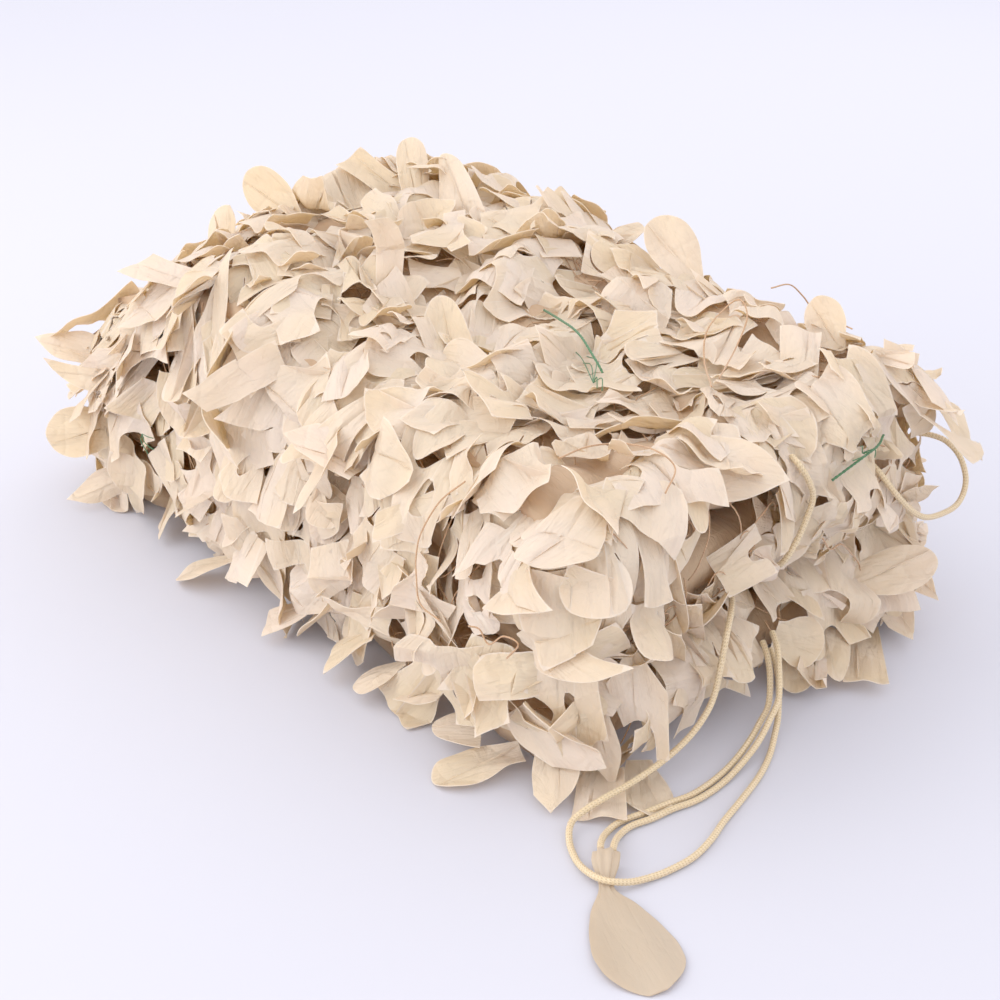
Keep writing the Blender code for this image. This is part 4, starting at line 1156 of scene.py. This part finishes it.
# %% Loose loops of yarn on top of the leaves: the height over the skin, and the pixels that each passes
LOOSE_RADIUS = 0.0006
LOOSE_YARNS = {
    "loose_yarn_top": (0.014, (712, 398), (704, 372), (708, 342), (722, 320), (738, 311), (744, 330),
                       (738, 360), (722, 390)),
    "loose_yarn_top_right": (0.014, (770, 300), (790, 297), (813, 300), (830, 306), (842, 316), (850, 340)),
    "loose_yarn_middle": (0.014, (471, 484), (450, 505), (434, 528), (428, 550), (428, 571), (430, 599),
                          (450, 617)),
    "loose_yarn_low": (0.014, (479, 621), (492, 628), (503, 640), (515, 634), (527, 640), (520, 655)),
    "loose_yarn_end": (0.012, (811, 536), (822, 548), (836, 545), (846, 552), (854, 565)),
    "loose_yarn_band": (0.014, (560, 470), (590, 458), (620, 455), (652, 462), (672, 478), (660, 500)),
}
for name, (height, *pixels) in LOOSE_YARNS.items():
    route = [laid_at(u, v, height) for u, v in pixels]
    lay_cord(name, "", route, 0.002, plain(LOOSE_RADIUS), 6, net_yarn)

# %% The green twine's frayed ends and one scrap of it: where the strands start and where each one ends
STRAND_RADIUS, STRAND_STEP = 0.0004, 0.001
STRAND_HEIGHTS = (0.010, 0.015, 0.013)  # over the skin, at its start, its middle and its end
TUFTS = (
    ((594, 388), ((579, 365), (585, 372), (589, 367), (596, 397), (604, 400))),
    ((858, 452), ((852, 444), (862, 449), (868, 452), (846, 462))),
    ((148, 434), ((161, 447), (156, 452), (160, 436))),
)
strands = []
for start, ends in TUFTS:
    for number, end in enumerate(ends):
        middle = ((start[0] + end[0]) / 2 + 2 * (number - 1), (start[1] + end[1]) / 2 - 3)
        route = [laid_at(*pixel, height) for pixel, height in zip((start, middle, end), STRAND_HEIGHTS)]
        strands.append(smooth_route(route, STRAND_STEP))
tufts = joined_tubes("green_twine_tufts", strands, STRAND_RADIUS, 6, green_twine)
CORD_LINES = np.concatenate([CORD_LINES, *strands, *(cords[name]["line"][::3] for name in LOOSE_YARNS)])
print("frayed strands:", len(strands))

# %% [markdown]
# ## Where the leaves grow
#
# Like tiles, the leaves overlap towards the near long side, and at the cord's end they fall over the edge.
# Wide sheets with windows come first, and single leaves between them.

# %% How one leaf is cut, folded and turned
LEAF_CUTS = (
    "round blunt blunt square square slant slant horn tee tee scoop pane pane pane wedge wedge wedge strap "
    "notched notched hook"
).split()
SHEET_CUTS = tuple(SHEET_SHAPES)


def random_leaf(random, kind, side, distance, way, calm):
    """A leaf with its root at a place on a belt, with folds of its own."""
    rolls = []
    if random.random() < 0.35:  # the tip curls
        rolls.append((random.normal(0, 30), random.uniform(0.020, 0.040), random.uniform(0.004, 0.012),
                      random.uniform(-100, 80) * calm))
    rise = random.uniform(55, 100) if random.random() < 0.04 * calm else random.uniform(-4, 34) * calm
    rolls.append((random.normal(0, 25), random.uniform(0.003, 0.014), random.uniform(0.005, 0.016), rise))
    return {
        "belt": kind, "side": side, "distance": distance, "way": way,
        "cut": LEAF_CUTS[random.integers(len(LEAF_CUTS))] + str(random.integers(CREASINGS)),
        "long": random.uniform(0.60, 0.95),
        "wide": random.uniform(0.75, 1.20),
        "hand": random.choice([-1, 1]),
        "folds": random.uniform(-1, 1, 2) * (55, 45) * (0.3 + 0.7 * calm),
        "rolls": rolls,
        "waves": random.uniform(-1, 1, 4),
        "lift": random.uniform(-0.003, 0.005),
        "tilt": random.uniform(0.0, 0.12),
        "cling": random.uniform(0.5, 1.0),
        "floor": random.uniform(0.0, 0.0025),
    }


def random_sheet(random, kind, side, distance, way, calm):
    """A wide piece with windows, which follows the bundle closely."""
    sheet = random_leaf(random, kind, side, distance, way, calm)
    sheet["cut"] = SHEET_CUTS[random.integers(len(SHEET_CUTS))] + str(random.integers(CREASINGS))
    sheet["long"], sheet["wide"] = random.uniform(0.70, 1.05), random.uniform(0.65, 1.0)
    turn = random.uniform(8, 26) * random.choice([-1, 1])
    zigzag = np.array([1, -2, 2, -2, 1]) * turn * random.uniform(0.6, 1.2, 5)
    sheet["folds"] = np.concatenate([[random.uniform(-60, 50) * calm], zigzag])
    sheet["rolls"] = [(random.normal(0, 25), random.uniform(0.040, 0.060), random.uniform(0.005, 0.015),
                       random.uniform(-20, 60) * calm)]
    sheet["turns"] = random.uniform(8, 75, 4) * calm
    sheet.update(lift=random.uniform(-0.004, 0.003), tilt=random.uniform(0.0, 0.08), cling=1.0)
    return sheet


# %% Rows of places on a belt
STRAY, EXTRA_STRAY = 0.12, 0.3  # how far places stray, as shares of the room between them


def places(random, kind, side_half, low, high, side_room, row_room):
    """Places in loose rows, set over by half a step in each second row."""
    rows = max(1, round((high - low) / row_room))
    columns = max(2, round(2 * side_half / side_room))
    for row in range(rows):
        for column in range(columns):
            share = (column + 0.25 + 0.5 * (row % 2)) / columns
            side = side_half * (2 * share - 1) + random.normal(0, STRAY * side_room)
            distance = low + (row + 0.5) * (high - low) / rows + random.normal(0, STRAY * row_room)
            yield side, distance
            wide, tall = stretch_at(kind, side, distance)[:2]
            if random.random() < wide * tall - 1.0:  # the slump makes room for one more here
                side += random.normal(0, EXTRA_STRAY * side_room)
                yield side, distance + random.normal(0, EXTRA_STRAY * row_room)


random = np.random.default_rng(14)
TOP_FROM, TOP_TO = SIDE + 0.5 * ARC, BELT["round"] - SIDE - 0.5 * ARC
TURN_TO_CORD = 75.0  # degrees that the single leaves on the top turn, towards the cord's end
OFF_END = 0.03  # how far from the floor the leaves of the two far pieces end
REGIONS = (  # from and to where along its belt, half its width, which way its leaves point and how calmly
    {"piece": "leaf_cloth_far_side", "belt": "round", "span": (TOP_TO, BELT["round"] - OFF_END), "half": 0.31,
     "way": 90, "calm": 0.8},
    {"piece": "leaf_cloth_near_side", "belt": "round", "span": (0.035, TOP_FROM + 0.01), "half": 0.29,
     "way": -90, "calm": 0.7},
    {"piece": "leaf_cloth_cord_end", "belt": "over", "span": (BELT["over"] - SIDE - ARC, BELT["over"] - 0.04),
     "half": 0.175, "way": 90, "calm": 0.8},
    {"piece": "leaf_cloth_far_end", "belt": "over", "span": (OFF_END, SIDE + ARC), "half": 0.20,
     "way": -90, "calm": 0.7},
    {"piece": "leaf_cloth_top", "belt": "round", "span": (TOP_FROM, TOP_TO), "half": 0.28, "way": -90,
     "calm": 0.4},
)
cloth = {"leaf_cloth_" + place: [] for place in ("top", "near_side", "far_side", "cord_end", "far_end")}
RECESS = np.array((  # where it is seen
    (628, 600), (648, 556), (700, 524), (752, 492), (786, 486), (780, 520), (744, 556), (700, 592),
    (652, 622),
), float)
LEAF_REACH = 0.030


def in_recess(piece, kind, side, distance, way):
    """Whether a leaf would hide the deep fold that the drawcord comes out of, which stays bare."""
    if piece not in ("leaf_cloth_cord_end", "leaf_cloth_near_side"):
        return False
    spots = np.array([side, distance]) + np.outer([0.0, 1.0], LEAF_REACH * heading(way))
    return inside(pictured(laid_yarn(kind, spots, 0.0))[0], RECESS).any()


LAYERS_OF_CLOTH = (  # what makes a piece, room for it along a row and across, and how its way varies
    (random_sheet, 0.085, 0.062, 34),
    (random_leaf, 0.046, 0.036, 58),
)
for region in REGIONS:
    name, kind = region["piece"], region["belt"]
    for make, side_room, row_room, spread in LAYERS_OF_CLOTH:
        for side, distance in places(random, kind, region["half"], *region["span"], side_room, row_room):
            way = region["way"] + random.normal(0, spread)
            if name == "leaf_cloth_top" and make is random_leaf:
                way += TURN_TO_CORD * smooth_step(0.14, 0.24, side)
            if not in_recess(name, kind, side, distance, way):
                cloth[name].append(make(random, kind, side, distance, way, region["calm"]))

# %% The last row on the two sides away from the camera: leaves that hang down to the floor
HEM_UP, HEM_ROOM = 0.044, 0.034  # how far above the floor they grow, and from each to the next
hem_random = np.random.default_rng(5)
for region in REGIONS:
    if region["piece"] not in ("leaf_cloth_far_side", "leaf_cloth_far_end"):
        continue
    low, high = region["span"]
    grown = low - OFF_END + HEM_UP if region["way"] < 0 else high + OFF_END - HEM_UP
    for side in np.arange(-region["half"], region["half"] + HEM_ROOM / 2, HEM_ROOM):
        way = region["way"] + hem_random.normal(0, 16)
        leaf = random_leaf(hem_random, region["belt"], side, grown + hem_random.normal(0, 0.005), way, 0.25)
        leaf.update(lift=0.004, wide=hem_random.uniform(0.95, 1.25), rolls=leaf["rolls"][-1:])
        cloth[region["piece"]].append(leaf)

# %% Leaves that stand out, by the pixels of their roots and tips
TUBE = ((90, 0.001, 0.0050, 210), (-90, 0.003, 0.0050, 60))  # a leaf rolled up along its length
STANDING = (  # cut, root, tip, width in mm, how much farther away its tip is, how it faces, folds, rolls
    ("round", (414, 202), (412, 135), 29, 0.1, 10, (14,)),
    ("blunt", (466, 214), (446, 151), 44, 0.3, -15, (-18,)),
    ("pane", (398, 180), (346, 158), 30, 0.2, 20, (20,)),
    ("strap", (394, 284), (400, 198), 22, 0.5, -35, (50,), (0, 0.035, 0.02, 40)),
    ("blunt", (452, 364), (443, 295), 50, 0.7, 0, (12,)),
    ("wedge", (458, 412), (524, 420), 46, -0.15, -25, (-12,)),
    ("pane", (322, 368), (337, 313), 30, 1.0, 0, (10,)),
    ("wedge", (352, 470), (289, 423), 38, 0.3, 10, (30,)),
    ("wedge", (578, 587), (566, 513), 38, 0.6, 10, (-22,)),
    ("round", (300, 212), (248, 170), 38, 0.2, -20, (16,)),
    ("slant", (188, 268), (124, 264), 28, 0.3, 20, (26,)),
    ("spear", (98, 362), (35, 335), 32, 0.1, 15, (24,)),
    ("horn", (112, 385), (41, 372), 28, 0.0, 10, (-18,)),
    ("round", (112, 438), (46, 432), 44, 0.1, -10, (14,)),
    ("spear", (120, 482), (66, 498), 28, 0.1, 10, (-30,)),
    ("round", (690, 270), (657, 216), 42, 0.2, 15, (14,)),
    ("round", (838, 340), (818, 296), 30, 0.2, -20, (18,)),
    ("pane", (800, 364), (800, 328), 30, 1.2, 0, (8,)),
    ("blunt", (803, 432), (860, 374), 38, 0.9, 0, (10,)),
    ("pane", (906, 402), (898, 346), 32, 0.3, 20, (30,)),
    ("spear", (922, 556), (938, 601), 22, -0.2, 10, (20,)),
    ("round", (852, 586), (938, 560), 36, -0.1, -10, (-16,)),
    ("round", (786, 640), (823, 648), 38, 0.1, -10, (12,)),
    ("notched", (730, 584), (768, 546), 36, 0.1, 10, (-24,)),
    ("round", (669, 508), (668, 640), 40, 0.4, 10, (46,)),
    ("flag", (560, 650), (568, 760), 54, 0.38, 8, (10, -14)),
    ("archway", (641, 652), (652, 765), 38, 0.38, -8, (12,)),
    ("spear", (604, 720), (611, 790), 24, 0.35, 10, (20,)),
)
LYING = (  # the same for leaves whose tips lie low, with the height of the tip for how far away it is
    ("blunt", (682, 606), (694, 668), 44, 0.006, 0, (16,)),
    ("round", (706, 596), (718, 644), 38, 0.008, 0, (-14,)),
    ("wedge", (660, 634), (672, 688), 44, 0.006, 0, (14,)),
    ("blunt", (330, 606), (298, 634), 34, 0.012, 0, (14,)),
    ("pane", (362, 632), (326, 656), 34, 0.014, 0, (-16,)),
    ("wedge", (436, 700), (398, 694), 36, 0.012, 0, (16,)),
    ("blunt", (470, 730), (432, 726), 38, 0.016, 0, (-14,)),
    ("pane", (872, 636), (867, 686), 32, 0.01, 0, (14,)),
    ("blunt", (842, 630), (836, 680), 34, 0.014, 0, (-20,)),
    ("strap", (836, 655), (816, 690), 46, 0.016, 0, (0,), *TUBE),
    ("round", (806, 650), (796, 692), 30, 0.008, 0, (14,)),
    ("wedge", (900, 600), (904, 640), 32, 0.012, 0, (16,)),
    ("round", (232, 560), (177, 576), 34, 0.004, 0, (10,)),
    ("pane", (306, 602), (263, 624), 28, 0.012, 0, (-14,)),
    ("round", (392, 668), (354, 690), 28, 0.01, 0, (12,)),
    ("round", (508, 758), (431, 778), 34, 0.004, 0, (-8,)),
    ("wedge", (556, 765), (540, 812), 34, 0.004, 0, (14,)),
    ("pane", (612, 780), (600, 822), 36, 0.004, 0, (10,)),
    ("round", (655, 778), (652, 816), 34, 0.004, 0, (-12,)),
)
cloth["leaf_cloth_lifted"] = []
for key, rows in (("away", STANDING), ("tip_height", LYING)):
    for cut, root, tip, across, value, face, folds, *rolls in rows:
        cloth["leaf_cloth_lifted"].append({
            "cut": cut + "0", "root": root, "tip": tip, "across": across, key: value, "face": face,
            "folds": folds, "rolls": rolls, "waves": random.uniform(-1, 1, 4),
        })

# %% The six pieces of leaf-cut cloth
cloth = {name: cloth_piece(name, leaves) for name, leaves in cloth.items()}

# %% [markdown]
# ## The yarn of the net
#
# Under the cloth lies the net that it is sewn to: brown yarn, knotted in big squares. In the bundle it has
# gone slack. It shows in the windows, besides the loose loops of it that lie on the leaves.

# %% The slack net, and tangles where its knots have slipped
YARN_RADIUS = 0.0005
NET_SQUARE, TANGLES = 0.070, 150


def wander(random, start, way, length, step, turning):
    """A line of places on a belt that wanders from a start."""
    angle, place, line, bend = math.radians(way), np.array(start, float), [], 0.0
    for at in range(round(length / step)):
        line.append(place.copy())
        bend = 0.8 * bend + random.normal(0, turning)
        angle += bend
        place += step * np.array([math.cos(angle), math.sin(angle)])
    return np.array(line)


random = np.random.default_rng(3)
yarns = []
for kind, half in (("round", 0.28), ("over", 0.16)):
    low, high = 0.02, BELT[kind] - 0.02
    for start in np.arange(-half, half + 1.4 * (high - low), NET_SQUARE):
        for way in (45, 135):
            begin = (start if way == 135 else -start, low)
            line = wander(random, begin, way, (high - low) * 1.4, 0.006, 0.04)
            line = line[(np.abs(line[:, 0]) < half) & (line[:, 1] > low) & (line[:, 1] < high)]
            if len(line) > 12:
                sunk = random.uniform(-0.010, -0.005) + 0.003 * np.sin(line[:, 1] * 60)
                yarns.append(laid_yarn(kind, line, sunk))
for tangle in range(TANGLES):
    kind, half = (("round", 0.27), ("over", 0.15))[tangle % 3 == 2]
    centre = (random.uniform(-half, half), random.uniform(0.04, BELT[kind] - 0.04))
    for loop in range(3):
        line = wander(random, centre + random.normal(0, 0.006, 2), random.uniform(0, 360),
                      random.uniform(0.03, 0.07), 0.0025, 0.16)
        rise = np.linspace(0, math.pi, len(line))
        yarns.append(laid_yarn(kind, line, random.uniform(-0.010, -0.006) + 0.005 * np.sin(rise)))
net_mesh = joined_tubes("net_yarn_mesh", yarns, YARN_RADIUS, 4, net_yarn)
print("yarns:", len(yarns), "with", len(net_mesh.data.polygons), "faces")

# %% [markdown]
# ## The tag
#
# A scrap of the leaf cloth is pushed through the drawcord's loop and choked there, so it gathers into
# pleats at its cap and neck and opens flat into one leaf.

# %% Sections of the tag, from its gathered cap through the choked neck to its leaf's tip
TAG_SECTIONS = np.array((  # x, y, half its width and thickness, height of its middle, depth of its pleats
    (0.3475, -0.1985, 0.0085, 0.0048, 0.0088, 0.30),
    (0.3505, -0.2020, 0.0098, 0.0064, 0.0086, 0.26),
    (0.3560, -0.2075, 0.0085, 0.0052, 0.0068, 0.30),
    (0.3605, -0.2118, 0.0050, 0.0020, 0.0028, 0.35),
    (0.3650, -0.2160, 0.0040, 0.0013, 0.0018, 0.40),
    (0.3705, -0.2198, 0.0062, 0.0010, 0.0022, 0.30),
    (0.3800, -0.2250, 0.0140, 0.0006, 0.0036, 0.10),
    (0.3960, -0.2325, 0.0215, 0.0004, 0.0036, 0.0),
    (0.4140, -0.2405, 0.0265, 0.0004, 0.0026, 0.0),
    (0.4300, -0.2475, 0.0250, 0.0004, 0.0022, 0.0),
    (0.4410, -0.2525, 0.0160, 0.0004, 0.0018, 0.0),
    (0.4480, -0.2555, 0.0030, 0.0003, 0.0016, 0.0),
))
STATIONS, TAG_SIDES, SMOOTHED = 70, 56, 7  # each size is averaged over seven stations
known = walked(TAG_SECTIONS[:, :2])
wanted = np.linspace(0, known[-1], STATIONS)
sizes = [np.pad(np.interp(wanted, known, column), SMOOTHED // 2, mode="edge") for column in TAG_SECTIONS.T]
sizes = [np.convolve(column, np.ones(SMOOTHED) / SMOOTHED, "valid")[:, None] for column in sizes]
x, y, half_width, half_thick, middle, pleat = sizes

# %% Its skin, in rings of points
PLEATS, TAG_LENGTH = 7, 0.115
ahead = np.stack([np.gradient(x[:, 0]), np.gradient(y[:, 0])], 1)
ahead /= np.linalg.norm(ahead, axis=1)[:, None]
angle = np.linspace(0, 2 * np.pi, TAG_SIDES, endpoint=False)[None, :]
gather = 1.0 - pleat * (0.5 + 0.5 * np.cos(PLEATS * angle + 8.0 * x))
across = half_width * np.cos(angle) * gather
wave = 0.0012 * np.sin(across / 0.006 + 3.0) * smooth_step(0.37, 0.40, x) + 0.0010 * np.sin(x / 0.011)
rise = middle + half_thick * np.sin(angle) * gather + wave
rise = np.maximum(rise, 0.0006 + half_thick * (1 + np.sin(angle)))  # clear of the floor
rings = np.stack([x + across * ahead[:, 1:], y - across * ahead[:, :1], rise], -1)
verts = np.concatenate([rings.reshape(-1, 3), rings[:1].mean(1), rings[-1:].mean(1)])
tag = mesh_object("cord_tag_cloth", verts, tube_faces(STATIONS, TAG_SIDES), tag_cloth)
tag.data.attributes.new("inward", "FLOAT", "POINT").data.foreach_set("value", np.ones(len(verts)))
along = np.append(np.repeat(np.linspace(0, TAG_LENGTH, STATIONS), TAG_SIDES), [0.0, TAG_LENGTH])
keep_cloth_places(tag, np.column_stack([along, np.append(across.ravel(), [0, 0])]))
choose(tag)
bpy.ops.object.mode_set(mode="EDIT")
bpy.ops.mesh.select_all(action="SELECT")
bpy.ops.mesh.normals_make_consistent(inside=False)
bpy.ops.object.mode_set(mode="OBJECT")

# %% [markdown]
# ## Everything in its place

# %% Ride and replace: the piece, the node that it stands for and its finish
IN_PLACE = [(piece, "folded_net", "leaf_cloth") for piece in (inner_folds, net_mesh, *cloth.values())]
for name, found in cords.items():
    stands_for = "folded_net" if name in LOOSE_YARNS else name
    IN_PLACE.append((found["piece"], stands_for, "green_twine" if name in TWINE_ROUTES else "braided_cord"))
IN_PLACE += [(tufts, "twine_tie_top", "green_twine"), (tag, "cord_tag", "leaf_cloth")]
for piece, stands_for, finish in IN_PLACE:
    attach(piece, "root")
    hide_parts(stands_for)

# %% Every cord: where its far end goes, and how thick it is
FAR_ENDS = {"drawcord_tail_left": "knot", "drawcord_tail_right": "knot", "twine_tie_end": "bare",
            "twine_tie_top": "bare"}
DIAMETERS = {
    **dict.fromkeys(CORD_ROUTES, CORD_DIAMETER),
    **dict.fromkeys(TWINE_ROUTES, TWINE_DIAMETER),
    **dict.fromkeys(LOOSE_YARNS, 2 * LOOSE_RADIUS),
}
for name, found in cords.items():
    FAR_ENDS.get(name, "object")
